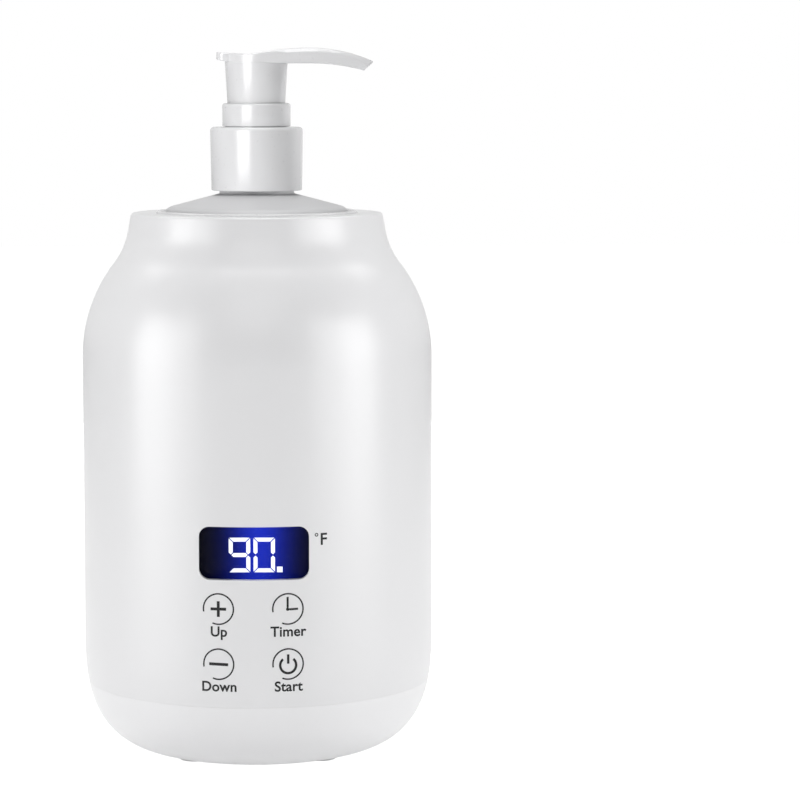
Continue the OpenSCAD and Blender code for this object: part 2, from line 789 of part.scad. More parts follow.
module board_screws() color(metal_grey)
    for (x = [-board_hole_x, board_hole_x], z = [board_hole_low, board_hole_high])
        translate([x, board_back_y, z]) rotate([90, 0, 0])
            screw(small_screw_d, small_head_r, small_head_h, small_screw_l + board_t - 0.5);

// Touch controller with its legs
module touch_chip() color(dark_grey) {
    chip_w = 6;
    chip_h = 8;
    chip_t = 1.4;
    chip_rise = 16;
    chip_z = board_z + chip_rise;
    legs = 4;
    leg_step = 1.8;
    translate([-chip_w / 2, board_back_y + 0.2, chip_z]) cube([chip_w, chip_t, chip_h]);
    for (side = [-1, 1], i = [0:legs - 1])
        translate([side * (chip_w / 2 + 0.4) - 0.5, board_back_y, chip_z + 1 + leg_step * i])
            cube([1, 0.8, 0.6]);
}

// One touch spring stands between the display board and the wall behind each touch key
module touch_springs() color(metal_grey) {
    wire = 0.5;
    wall_y = sqrt(pow(inner_r - side_draft, 2) - pow(key_step_x / 2 + key_spring_d / 2, 2));
    for (x = [-key_step_x / 2, key_step_x / 2], z = [key_lower_z, key_upper_z])
        translate([x, board_y, z]) rotate([90, 0, 0])
            wire_spring(key_spring_d - wire, wire, wall_y + board_y - rest_gap, 2, 16, 6);
}

// Flat ribbon from the display board down to its socket on the power board
module display_ribbon() color([0.85, 0.85, 0.82]) {
    bend = 7;
    start_rise = 10;
    back = board_back_y;
    top = board_z + start_rise;
    low = power_top + ribbon_socket_h;
    end_y = ribbon_socket_y + 1;
    mid = [back + ribbon_t + bend, low + ribbon_t + bend];
    outline = concat(
        [[back, top], [back + ribbon_t, top]],
        arc(mid, bend, 180, 270, 6),
        [[end_y, low + ribbon_t], [end_y, low]],
        arc(mid, bend + ribbon_t, 270, 180, 6)
    );
    translate([-ribbon_w / 2, 0, 0]) rotate([90, 0, 90]) linear_extrude(ribbon_w) polygon(outline);
}

// Trim ring round the opening, held by a flange under the body's top
module trim_ring() color(pump_white) {
    lip = trim_w / 2;
    turned(concat(
        [[trim_in_r, trim_z], [clamped_r, trim_z], [clamped_r, plate_z], [trim_out_r, plate_z]],
        arc([trim_out_r - lip, body_h + trim_stand - lip / 2], lip, 0, 90, 4),
        arc([trim_in_r + lip, body_h + trim_stand - lip / 2], lip, 90, 180, 4)
    ));
}

module well_seal() color([0.9, 0.9, 0.9])
    ring_solid(clamped_r, well_r + 0.5, seal_z, trim_z);

module heating_well() color(metal_grey)
    turned([[0, well_z], [well_out_r, well_z], [well_out_r, clamp_top], [clamped_r, clamp_top],
        [clamped_r, well_top], [well_r, well_top], [well_r, pad_z], [0, pad_z]]);

module well_clamp() color(dark_grey) difference() {
    turned([[clamp_in_r, clamp_z], [clamp_circle + clamp_boss_r, clamp_z],
        [clamp_circle + clamp_boss_r, clamp_z + clamp_t], [clamped_r, clamp_z + clamp_t],
        [clamped_r, clamp_top], [clamp_in_r, clamp_top]]);
    around(clamp_angles, clamp_circle)
        translate([0, 0, clamp_z - 1]) cylinder(d = small_screw_d + 2 * fit_gap, h = clamp_t + 2);
}

module clamp_screws() color(metal_grey)
    around(clamp_angles, clamp_circle)
        translate([0, 0, clamp_z])
            screw(small_screw_d, small_head_r, small_head_h, clamp_screw_l - 0.5);

module bottle_pad() color([0.55, 0.56, 0.58]) {
    side_gap = 0.6;
    hole_r = 9;
    ring_solid(well_r - side_gap, hole_r, pad_z, pad_z + pad_t);
}

module heater_film() color([0.75, 0.45, 0.2]) {
    tail_w = 10;
    ring_solid(film_r + film_t, film_r, film_z, film_z + film_h);
    intersection() {
        ring_solid(film_r + film_t, film_r, film_z - tail_h, film_z + 1);
        translate([-well_out_r - 2, -tail_w / 2, film_z - tail_h]) cube([4, tail_w, tail_h + 1]);
    }
}

module insulation_sleeve() color([0.9, 0.9, 0.85]) {
    overlap = 2;
    ring_solid(sleeve_in_r + sleeve_t, sleeve_in_r, film_z - overlap, film_z + film_h + overlap);
}

// Sensors under the floor of the well, held by a spring clip
module thermistor() color([0.2, 0.2, 0.22])
    rod_y(sensor_x, sensor_mid_z, sensor_d / 2, -thermistor_l / 2, thermistor_l / 2);

module thermal_fuse() color([0.85, 0.8, 0.7])
    rod_y(-sensor_x, sensor_mid_z, sensor_d / 2, -fuse_l / 2, fuse_l / 2);

module sensor_clip() color(metal_grey) {
    clip_w = 6;
    step_x = sensor_x + sensor_d;
    foot_x = step_x + 2;
    end_x = foot_x + 6;
    hat = [
        [-end_x, 0], [-end_x, -clip_t], [-foot_x - clip_t, -clip_t],
        [-step_x - clip_t, -sensor_d - clip_t], [step_x + clip_t, -sensor_d - clip_t],
        [foot_x + clip_t, -clip_t], [end_x, -clip_t], [end_x, 0],
        [foot_x, 0], [step_x, -sensor_d], [-step_x, -sensor_d], [-foot_x, 0]
    ];
    front_block(hat, well_z, clip_w / 2, -clip_w / 2);
}

// Power board in the base and the parts that stand on it
module power_board() color(board_green) difference() {
    translate([-power_w / 2, power_y - power_l / 2, power_z]) cube([power_w, power_l, board_t]);
    for (x = [-post_x, post_x], y = [-post_y, post_y])
        translate([x, y + power_y, power_z - 1])
            cylinder(d = small_screw_d + 2 * fit_gap, h = board_t + 2);
}

module power_board_screws() color(metal_grey)
    for (x = [-post_x, post_x], y = [-post_y, post_y])
        translate([x, y + power_y, power_top]) mirror([0, 0, 1])
            screw(small_screw_d, small_head_r, small_head_h, small_screw_l + board_t - 0.5);

module capacitor() color([0.1, 0.1, 0.3]) translate(cap_at) {
    cylinder(d = cap_d, h = cap_h);
    cylinder(d = cap_d - 1.5, h = cap_h + 0.3);
}

// Transistor standing on its three legs, with a drilled metal tab
module power_transistor() color(dark_grey) translate(transistor_at) {
    case_w = 10;
    case_t = 4.4;
    case_h = 9;
    leg_h = 3;
    leg_w = 0.8;
    tab_t = 1.3;
    tab_h = 6.5;
    for (i = [-1:1])
        translate([2.5 * i - leg_w / 2, -leg_w / 2, 0]) cube([leg_w, leg_w, leg_h + 0.5]);
    translate([-case_w / 2, -case_t / 2, leg_h]) cube([case_w, case_t, case_h]);
    difference() {
        translate([-case_w / 2, case_t / 2 - tab_t, leg_h + case_h - 1])
            cube([case_w, tab_t, tab_h]);
        rod_y(0, leg_h + case_h + 2.5, 1.8, 0, case_t);
    }
}

// Choke: a wound ring on a drum core
module choke_coil() color([0.6, 0.35, 0.15]) translate(choke_at) {
    winding_r = 5;
    flange_t = 0.6;
    choke_h = 6;
    cylinder(r = winding_r + 0.6, h = flange_t);
    cylinder(r = winding_r, h = choke_h - flange_t);
    translate([0, 0, choke_h - flange_t]) cylinder(r = winding_r + 0.6, h = flange_t);
}

module buzzer() color(dark_grey) translate(buzzer_at) {
    buzzer_r = 6;
    buzzer_h = 7;
    hole_r = 1;
    floor_t = 2;
    difference() {
        cylinder(r = buzzer_r, h = buzzer_h);
        translate([0, 0, floor_t]) cylinder(r = hole_r, h = buzzer_h);
    }
}

// Lead sockets: sensors at +X, heater at -X, power at the back, display ribbon at the front
module wire_connectors() color([0.93, 0.91, 0.85]) {
    for (x = [-socket_x, socket_x])
        translate([x - socket_w / 2, power_y - socket_l / 2, power_top])
            cube([socket_w, socket_l, socket_h_up]);
    translate([-socket_l / 2, socket_y - socket_w / 2, power_top])
        cube([socket_l, socket_w, socket_h_up]);
    translate([-ribbon_w / 2 - 1, ribbon_socket_y - ribbon_socket_t / 2, power_top])
        cube([ribbon_w + 2, ribbon_socket_t, ribbon_socket_h]);
}

module sensor_leads() color([0.85, 0.85, 0.85]) {
    low = socket_top_z + lead_gap;
    lead([[sensor_x, thermistor_l / 2 + lead_gap, sensor_mid_z],
        [sensor_x + 0.5, 7, sensor_mid_z - 0.6], [11, 8, sensor_mid_z - 6],
        [18, 5, low + 9], [socket_x, power_y - 2, low + 4], [socket_x, power_y - 2, low]],
        lead_d, [1, 0, 0]);
    lead([[-sensor_x, fuse_l / 2 + lead_gap, sensor_mid_z],
        [-sensor_x + 0.5, 9, sensor_mid_z - 0.6], [-1, 13, sensor_mid_z - 5],
        [12, 12, low + 10], [socket_x, power_y + 2, low + 4], [socket_x, power_y + 2, low]],
        lead_d, [1, 0, 0]);
}

module heater_leads() color(lead_red) {
    low = socket_top_z + lead_gap;
    start_x = -(well_out_r + lead_r + rest_gap);
    for (side = [-1, 1])
        lead([[start_x, 2.2 * side, film_z - tail_h - lead_gap], [start_x, 2.2 * side, well_z + 2],
            [start_x + 2, 2.2 * side, well_z - 6], [-25, power_y / 2 + 2 * side, low + 11],
            [-socket_x, power_y + 2 * side, low + 4], [-socket_x, power_y + 2 * side, low]],
            lead_d, [0, 1, 0]);
}

// Power socket in the back of the body, with its nut inside
module dc_jack() color(dark_grey) {
    difference() {
        union() {
            rod_y(0, jack_z, jack_flange_r, jack_y, jack_y + jack_flange_t);
            rod_y(0, jack_z, jack_r, jack_y - jack_l, jack_y + 0.5);
            rod_y(0, jack_z, jack_r + 0.6, jack_y - jack_l - jack_block_l, jack_y - jack_l);
        }
        rod_y(0, jack_z, jack_bore / 2, jack_y - jack_l + 1.5, jack_y + jack_flange_t + 1);
        rod_y(0, jack_z, jack_pin_d / 2, jack_y - jack_l - 1, jack_y - jack_l + 2);
    }
}

module dc_jack_pin() color(metal_grey) {
    rod_y(0, jack_z, jack_pin_d / 2, jack_y - jack_l - 1, jack_y - 0.5);
    for (x = [-2.5, 2.5])
        translate([x - 0.75, jack_y - jack_l - jack_block_l - jack_tag_l, jack_z - 0.3])
            cube([1.5, jack_tag_l, 0.6]);
}

module dc_jack_nut() color(metal_grey) difference() {
    translate([0, jack_y - shell_t - jack_nut_t, jack_z]) rotate([-90, 0, 0])
        cylinder(d = jack_nut_w / cos(30), h = jack_nut_t, $fn = 6);
    rod_y(0, jack_z, jack_r + fit_gap / 2, jack_y - 5 * shell_t, jack_y);
}

module power_leads() color(lead_red) {
    low = socket_top_z + lead_gap;
    start_y = jack_y - jack_l - jack_block_l - jack_tag_l - lead_gap;
    for (x = [-2.5, 2.5])
        lead([[x, start_y, jack_z], [x, start_y - 4, jack_z - 1], [0.9 * x, start_y - 10, jack_z - 6],
            [0.8 * x, socket_y, low + 4], [0.8 * x, socket_y, low]],
            lead_d, [1, 0, 0]);
}

// Bottle with a threaded neck
module bottle() color(bottle_grey) {
    inner = bottle_r - bottle_t;
    outside = concat(
        [[0, bottle_z]],
        arc([bottle_r - bottle_heel, bottle_z + bottle_heel], bottle_heel, 270, 360, 6),
        arc([bottle_r - bottle_edge, shoulder_line_z], bottle_edge, 0, 90 - bottle_rise, 6),
        [[neck_r, neck_z], [neck_r, neck_z + 1.6], [thread_root_r, neck_z + 2.2],
        [thread_root_r, mouth_z - 0.4], [thread_root_r - 0.4, mouth_z]]
    );
    inside = concat(
        [[mouth_r, mouth_z], [mouth_r, neck_z - 1]],
        arc([bottle_r - bottle_edge, shoulder_line_z - bottle_t * 0.6],
            bottle_edge - bottle_t, 90 - bottle_rise, 0, 6),
        arc([bottle_r - bottle_heel, bottle_z + bottle_floor_t + bottle_heel - bottle_t],
            bottle_heel - bottle_t, 0, -90, 6),
        [[0, bottle_z + bottle_floor_t]]
    );
    union() {
        turned(concat(outside, inside));
        thread_ridge(thread_root_r, thread_r, bottle_thread_z, thread_turns, 0);
    }
}

// Closure collar with its inner thread
module collar() color(pump_white) {
    top_r = collar_r + collar_flare / 2;
    union() {
        turned(concat(
            [[collar_bore_r, collar_z], [collar_r - 0.4, collar_z], [collar_r, collar_z + 0.4]],
            arc([top_r - collar_edge, collar_top - collar_edge], collar_edge, 0, 90, 5),
            [[collar_hole_r, collar_top], [collar_hole_r, collar_under_z],
            [collar_bore_r, collar_under_z]]
        ));
        thread_ridge(collar_bore_r, thread_root_r + thread_gap, bottle_thread_z - thread_pitch / 2,
            collar_turns, 0);
    }
}

module neck_gasket() color([0.85, 0.85, 0.85])
    ring_solid(flange_r, housing_head_r + fit_gap, gasket_z, flange_z);

// Pump housing: flange, chamber, spring seat, ball cage and dip tube socket
module pump_housing() color([0.92, 0.92, 0.9]) {
    head_z = cup_floor_z - plug_h - 0.5;
    turned([
        [flange_r, flange_z], [flange_r, flange_top], [guide_out_r + fit_gap, flange_top],
        [guide_out_r + fit_gap, cup_floor_z], [plug_r + fit_gap / 2, cup_floor_z],
        [plug_r + fit_gap / 2, head_z], [chamber_r, head_z - 1], [chamber_r, spring_z],
        [spring_seat_r, spring_z], [spring_seat_r, spring_z - 0.1], [ball_r - 0.2, spring_z - 0.1],
        [ball_r - 0.2, spring_z - lip_t], [cage_r, spring_z - lip_t],
        [cage_r, seat_apex_z + cage_r], [seat_hole_r, seat_apex_z + seat_hole_r],
        [seat_hole_r, socket_top], [tube_r + fit_gap / 2, socket_top],
        [tube_r + fit_gap / 2, socket_top - socket_h], [nozzle_r, socket_top - socket_h],
        [nozzle_r, seat_apex_z + seat_hole_r], [cage_r + housing_t, seat_apex_z + cage_r + 1],
        [cage_r + housing_t, spring_z - 3], [housing_r, spring_z + 1],
        [housing_r, head_z - 2.5], [housing_head_r, head_z - 1], [housing_head_r, flange_z]
    ]);
}

// Guide ring: the visible ring, its cup through the collar and the sleeve round the stem
module guide_ring() color(pump_white)
    turned(concat(
        [[ring_r, ring_z]],
        arc([ring_r - 0.6, ring_top - 0.6], 0.6, 0, 90, 4),
        [[ring_in_r, ring_top], [ring_in_r, ring_z + 2], [guide_in_r, ring_z],
        [guide_in_r, guide_floor_z],
        [sleeve_r, guide_floor_z], [sleeve_r, cup_floor_z - sleeve_h],
        [sleeve_r + 1.2, cup_floor_z - sleeve_h], [sleeve_r + 1.2, cup_floor_z],
        [plug_r - plug_t, cup_floor_z], [plug_r - plug_t, cup_floor_z - plug_h],
        [plug_r, cup_floor_z - plug_h], [plug_r, cup_floor_z], [guide_out_r, cup_floor_z],
        [guide_out_r, ring_z]]
    ));

module dip_tube() color([0.93, 0.93, 0.9, 0.8]) difference() {
    ring_solid(tube_r, tube_r - tube_t, tube_z, socket_top);
    translate([0, -2 * tube_r, tube_z]) rotate([0, 40, 0]) translate([-3 * tube_r, 0, -2 * tube_r])
        cube([4 * tube_r, 4 * tube_r, 2 * tube_r]);
}

module valve_ball() color(metal_grey) translate([0, 0, ball_z]) sphere(r = ball_r);

module pump_spring() color(metal_grey)
    translate([0, 0, spring_z]) wire_spring(spring_d, spring_wire, spring_l, 6, 20, 8);

// Piston with a lip at each end, round the foot of the stem
module piston() color([0.88, 0.9, 0.92]) {
    seal_r = chamber_r - run_gap;
    waist_r = seal_r - 1;
    lip = 1.2;
    recess_r = stem_r + 1.3;
    turned([
        [stem_r + run_gap, piston_z], [waist_r - 0.5, piston_z], [seal_r, piston_z],
        [seal_r, piston_z + lip], [waist_r, piston_z + lip + 0.5],
        [waist_r, piston_top - lip - 0.5], [seal_r, piston_top - lip], [seal_r, piston_top],
        [recess_r, piston_top], [recess_r, piston_top - 1.4], [stem_r + run_gap, piston_top - 1.4]
    ]);
}

// Stem with the shoulder that pushes the piston down
module pump_stem() color(pump_white) {
    shoulder_top = piston_top - 0.15;
    turned([
        [stem_bore / 2, stem_foot_z + foot_flange_t], [stem_r, stem_foot_z + foot_flange_t],
        [stem_r, piston_top - 1.2], [stem_r + 1.1, piston_top - 1.2],
        [stem_r + 1.1, shoulder_top], [stem_r, shoulder_top], [stem_r, barrel_top_z - 2],
        [stem_bore / 2, barrel_top_z - 2]
    ]);
}

// Plug in the lower end of the stem, which lifts the piston and takes the spring
module stem_plug() color([0.9, 0.9, 0.88]) difference() {
    union() {
        translate([0, 0, stem_foot_z]) cylinder(r = foot_flange_r, h = foot_flange_t);
        translate([0, 0, stem_foot_z])
            cylinder(d = stem_bore - fit_gap, h = foot_flange_t + 4);
    }
    translate([0, 0, stem_foot_z - 1]) cylinder(d = 1.2, h = foot_flange_t + 6);
}

// Side outline of the pump head, as X and height pairs above the barrel's upper end. Behind the
// hump the top dips into a saddle and runs straight to the end of the thumb rest.
function head_side() =
    let (back_r = 92, front_r = 49, under_r = 64, saddle_r = 6, saddle_x = -1.3,
         tip_slant = 2.6, under_z = -0.1,
         turn = asin((hump_x - saddle_x) / back_r),
         tip_turn = asin((spout_reach - hump_x) / front_r),
         under_turn = asin((spout_reach - tip_slant - hump_x) / under_r),
         back_mid = [hump_x, hump_h - back_r],
         saddle_mid = back_mid + (back_r + saddle_r) * [-sin(turn), cos(turn)])
    concat(
        [[-7, under_z], [-rest_reach - 1, 1.2], [-rest_reach - 1, rest_h]],
        arc(saddle_mid, saddle_r, 267, 269 + turn, 3),
        arc(back_mid, back_r, 90 + 0.9 * turn, 90, 4),
        arc([hump_x, hump_h - front_r], front_r, 87, 90 - tip_turn, 6),
        arc([hump_x, under_z - under_r], under_r, 90 - under_turn, 90, 5)
    );

// Plan outline of the pump head: a drop that just clears the barrel, with the thumb rest behind
function head_plan() =
    let (round_r = head_round_r, side_turn = 8.6, rest_corner = 2.2,
         rest_angle = 180 - asin(rest_w / 2 / round_r),
         half = concat(
             [[spout_reach + 1, tip_w / 2]],
             arc([0, 0], round_r, 90 - side_turn, rest_angle, 7),
             arc([rest_corner - rest_reach, rest_w / 2 - rest_corner], rest_corner, 90, 180, 4)))
    concat(half, [for (q = reversed(half)) [q[0], -q[1]]]);

// Passage for the oil: up from the stem, along the spout, and down to its tip
module head_passage() {
    riser_r = 1.5;
    turn_r = 2;
    start = [0, 0, barrel_top_z + 0.4];
    crest = [19, 0, barrel_top_z + 2.1];
    climb = atan2(crest[2] - start[2], crest[0]);
    translate([0, 0, barrel_top_z - 3]) cylinder(r = riser_r, h = start[2] - barrel_top_z + 3);
    translate(start) sphere(r = turn_r);
    translate(start) rotate([0, 90 - climb, 0])
        cylinder(d = spout_bore, h = norm(crest - start));
    translate(crest) sphere(d = spout_bore + 0.4);
    translate(crest) rotate([0, 90 + 10.5, 0]) cylinder(d = spout_bore, h = spout_reach);
}

module pump_head() color(pump_white) difference() {
    top = barrel_top_z;
    roof_t = 1.8;
    union() {
        translate([0, 0, top]) intersection() {
            translate([0, barrel_top_d, 0]) rotate([90, 0, 0])
                linear_extrude(2 * barrel_top_d) polygon(head_side());
            translate([0, 0, -ring_h]) linear_extrude(3 * ring_h) polygon(head_plan());
        }
        turned([[barrel_d / 2 - barrel_t, barrel_z], [barrel_d / 2, barrel_z],
            [barrel_top_d / 2, top], [barrel_top_d / 2, top + 1.2], [0, top + 1.2],
            [0, top - roof_t], [barrel_top_d / 2 - barrel_t, top - roof_t]]);
        ring_solid(stem_r + 1.6, stem_r, barrel_z + 4, top - roof_t / 2);
    }
    translate([0, 0, barrel_z]) cylinder(r = stem_r + fit_gap / 2, h = top - 2 - barrel_z);
    head_passage();
}

outer_shell();
base_shell();
display_window();
light_frame();
display_panel();
digit_segments();
backlight_housing();
display_board();
touch_chip();
touch_springs();
board_screws();
display_ribbon();
trim_ring();
well_seal();
heating_well();
well_clamp();
clamp_screws();
bottle_pad();
heater_film();
insulation_sleeve();
thermistor();
thermal_fuse();
sensor_clip();
sensor_leads();
heater_leads();
power_board();
power_board_screws();
capacitor();
power_transistor();
choke_coil();
buzzer();
wire_connectors();
dc_jack();
dc_jack_pin();
dc_jack_nut();
power_leads();
base_screws();
rubber_feet();
bottle();
pump_housing();
neck_gasket();
guide_ring();
dip_tube();
pump_spring();
valve_ball();
collar();
piston();
pump_stem();
stem_plug();
pump_head();
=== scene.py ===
"""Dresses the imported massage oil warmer: its shell, lit display, keys, bottle, pump and finishes.

Runs as a script in Blender 4.5. Metres, +Z up, the display faces -Y and the spout points to +X.
"""

import json
import math

import bpy
from bpy.props import FloatProperty, FloatVectorProperty, IntProperty, PointerProperty
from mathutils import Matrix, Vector

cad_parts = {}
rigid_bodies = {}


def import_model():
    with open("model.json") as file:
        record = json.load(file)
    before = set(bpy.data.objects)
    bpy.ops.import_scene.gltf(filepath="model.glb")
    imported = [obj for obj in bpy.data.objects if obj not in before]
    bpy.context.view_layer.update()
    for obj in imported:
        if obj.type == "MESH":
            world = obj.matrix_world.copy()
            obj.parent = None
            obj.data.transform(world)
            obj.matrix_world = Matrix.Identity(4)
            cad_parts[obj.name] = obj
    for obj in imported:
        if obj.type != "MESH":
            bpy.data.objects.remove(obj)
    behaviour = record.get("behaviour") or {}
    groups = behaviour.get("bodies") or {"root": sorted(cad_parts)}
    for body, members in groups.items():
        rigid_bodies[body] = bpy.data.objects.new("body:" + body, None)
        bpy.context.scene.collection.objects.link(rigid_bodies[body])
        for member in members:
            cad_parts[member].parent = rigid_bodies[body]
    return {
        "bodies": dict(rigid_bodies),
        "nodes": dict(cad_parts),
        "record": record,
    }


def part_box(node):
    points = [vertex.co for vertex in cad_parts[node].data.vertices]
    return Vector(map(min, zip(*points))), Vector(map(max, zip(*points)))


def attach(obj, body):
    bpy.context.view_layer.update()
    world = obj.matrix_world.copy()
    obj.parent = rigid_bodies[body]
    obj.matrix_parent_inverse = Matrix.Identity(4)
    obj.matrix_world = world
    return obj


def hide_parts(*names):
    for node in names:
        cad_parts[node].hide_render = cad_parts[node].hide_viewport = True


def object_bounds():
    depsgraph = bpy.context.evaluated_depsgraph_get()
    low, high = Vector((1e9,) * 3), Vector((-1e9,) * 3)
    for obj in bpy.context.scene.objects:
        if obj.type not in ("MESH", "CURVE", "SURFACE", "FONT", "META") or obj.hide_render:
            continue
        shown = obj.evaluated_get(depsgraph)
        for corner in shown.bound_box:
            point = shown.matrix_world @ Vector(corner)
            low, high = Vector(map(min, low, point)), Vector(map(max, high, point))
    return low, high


bl_info = {
    "name": "Massage oil warmer",
    "version": (1, 0, 0),
    "blender": (4, 5, 0),
    "location": "3D View > Sidebar > Warmer",
    "description": "Builds the visible pieces and finishes of a massage oil warmer",
    "category": "Object",
}

MM = 0.001
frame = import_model()
cad_box = [list(corner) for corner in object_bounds()]

# Heights and radii that the pieces share, read from the frame
SHELL_LOW, SHELL_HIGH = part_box("outer_shell")
BASE_LOW, BASE_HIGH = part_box("base_shell")
WINDOW_LOW, WINDOW_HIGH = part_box("display_window")
PANEL_LOW, PANEL_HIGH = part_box("display_panel")
DIGITS_LOW, DIGITS_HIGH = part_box("digit_segments")
TRIM_LOW, TRIM_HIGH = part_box("trim_ring")
BOTTLE_LOW, BOTTLE_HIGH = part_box("bottle")
COLLAR_LOW, COLLAR_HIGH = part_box("collar")
GUIDE_LOW, GUIDE_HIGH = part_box("guide_ring")
HEAD_LOW, HEAD_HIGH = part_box("pump_head")
JACK_LOW, JACK_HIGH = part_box("dc_jack")
FEET_LOW, FEET_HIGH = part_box("rubber_feet")

BODY_R = SHELL_HIGH.x
BODY_TOP = SHELL_HIGH.z


def size_field(name, description, default, precision=5):
    """A size that a user can change."""
    return FloatProperty(name=name, description=description, default=default, unit="LENGTH",
                         precision=precision)


def colour_field(name, description, default):
    """A colour that a user can change."""
    return FloatVectorProperty(name=name, description=description, default=default, size=3,
                               subtype="COLOR", min=0, max=1)


class WarmerBodyShape(bpy.types.PropertyGroup):
    """Outline of the body, from its feet to its rim"""

    shell_t: FloatProperty(
        name="Wall", description="Wall thickness of the shell and the base",
        default=2.2 * MM, min=1.0 * MM, unit="LENGTH", precision=5)
    rim_r: size_field("Rim radius", "Radius of the body at its top rim", 39.6 * MM)
    rim_edge: size_field("Rim edge", "Rounding of the top rim's edge", 0.8 * MM)
    neck_slope: FloatProperty(
        name="Neck slope", description="Slope of the short neck under the rim",
        default=math.radians(10.2), unit="ROTATION")
    neck_curve: size_field("Neck curve", "Radius of the hollow curve under the neck", 24 * MM)
    shoulder_curve: size_field("Shoulder curve", "Radius of the round shoulder", 47.5 * MM)
    shoulder_depth: size_field(
        "Shoulder depth", "Depth under the rim where the shoulder ends", 45 * MM)
    side_draft: size_field(
        "Side draft", "How much the side draws in towards the shoulder", 0.15 * MM)
    corner_w: size_field("Corner width", "Width of the rounded bottom corner", 32 * MM)
    corner_h: size_field("Corner height", "Height of the rounded bottom corner", 38 * MM)
    corner_n: FloatProperty(
        name="Corner squareness", description="Power of the corner's curve, 2 for an ellipse",
        default=2.8, min=1.5, max=4)
    seam_z: size_field("Seam height", "Height of the seam between the base and the shell", 23 * MM)
    opening_r: size_field("Opening radius", "Radius of the opening in the top", 31.8 * MM)
    seam_gap: size_field("Seam gap", "Gap between the base and the shell", 0.015 * MM)
    seam_edge: size_field("Seam edge", "Rounding of both edges at the seam", 0.04 * MM)
    trim_w: size_field("Trim width", "Width of the trim ring's lip", 1.8 * MM)
    screw_circle: size_field(
        "Screw circle", "Distance of the base screws from the axis", 41.5 * MM)
    foot_circle: size_field("Foot circle", "Distance of the feet from the axis", 28 * MM)
    foot_r: size_field("Foot radius", "Radius of a rubber foot", 5 * MM)
    turn_steps: IntProperty(
        name="Steps", description="Steps in one turn of a large round piece",
        default=216, min=24, max=512)
    shell_colour: colour_field("Shell colour", "Colour of the outer shell", (0.84, 0.84, 0.85))
    # The base's colour is lighter than the shell's white: painted light for the brighter fill on
    # the base.
    base_colour_with_painted_fill: colour_field("Base colour", "Colour of the base", (0.90, 0.90, 0.91))


class WarmerDisplayLook(bpy.types.PropertyGroup):
    """The display window, its digits and the touch-key signs"""

    window_w: size_field("Window width", "Width of the display window", 33.3 * MM)
    window_h: size_field("Window height", "Height of the display window", 16.2 * MM)
    socket_flange: size_field("Socket flange", "Thickness of the power socket's flange", 1.2 * MM)
    window_corner: size_field("Window corner", "Corner radius of the display window", 3.2 * MM)
    window_gap: size_field("Window gap", "Gap between the window and the shell", 0.1 * MM)
    stroke: size_field("Stroke", "Width of a digit's bars", 1.2 * MM)
    digit_h: size_field("Digit height", "Height of one digit", 10.6 * MM)
    digit_w: size_field("Digit width", "Width of one digit", 6.5 * MM)
    digit_step: size_field("Digit step", "Distance between the digits' middles", 7.5 * MM)
    dot_w: size_field("Dot", "Width of the point behind the digits", 1.7 * MM)
    glow_colour: colour_field(
        "Glow colour", "Colour of the display's backlight", (0.012, 0.030, 0.56))
    glow_shift: size_field("Glow shift", "How far the glow's middle lies to the right", 1.6 * MM)
    glow_spread: size_field(
        "Glow spread", "Distance over which the glow falls off sideways", 5.5 * MM)
    key_x: size_field("Key distance", "Distance of each column of keys from the middle", 10.6 * MM)
    key_upper_z: size_field("Upper keys", "Height of the upper keys above the table", 53.55 * MM)
    key_lower_z: size_field("Lower keys", "Height of the lower keys above the table", 36.65 * MM)
    key_ring_r: size_field("Key ring", "Radius of the ring round each key sign", 4.65 * MM)
    ring_line: size_field("Ring line", "Width of the line of a key ring", 0.45 * MM)
    legend_drop: size_field(
        "Legend drop", "How far a legend's foot lies under its key's middle", 8.35 * MM)
    legend_size: size_field("Legend size", "Size of the legends' letters", 4.35 * MM)
    legend_width: FloatProperty(
        name="Legend width", description="Width of the letters against their normal width",
        default=1.0, min=0.5, max=2)
    legend_spacing: FloatProperty(
        name="Legend spacing", description="Spacing of the letters",
        default=1.02, min=0.5, max=2)
    legend_weight: size_field(
        "Legend weight", "How much the letters are made thinner or bolder", 0.09 * MM, precision=6)
    unit_x: size_field(
        "Unit place", "Distance of the unit sign from the middle, round the body", 21.25 * MM)
    unit_z: size_field("Unit height", "Height of the foot of the unit sign", 72.7 * MM)
    ink_colour: colour_field("Ink colour", "Colour of the printed signs", (0.008, 0.008, 0.009))


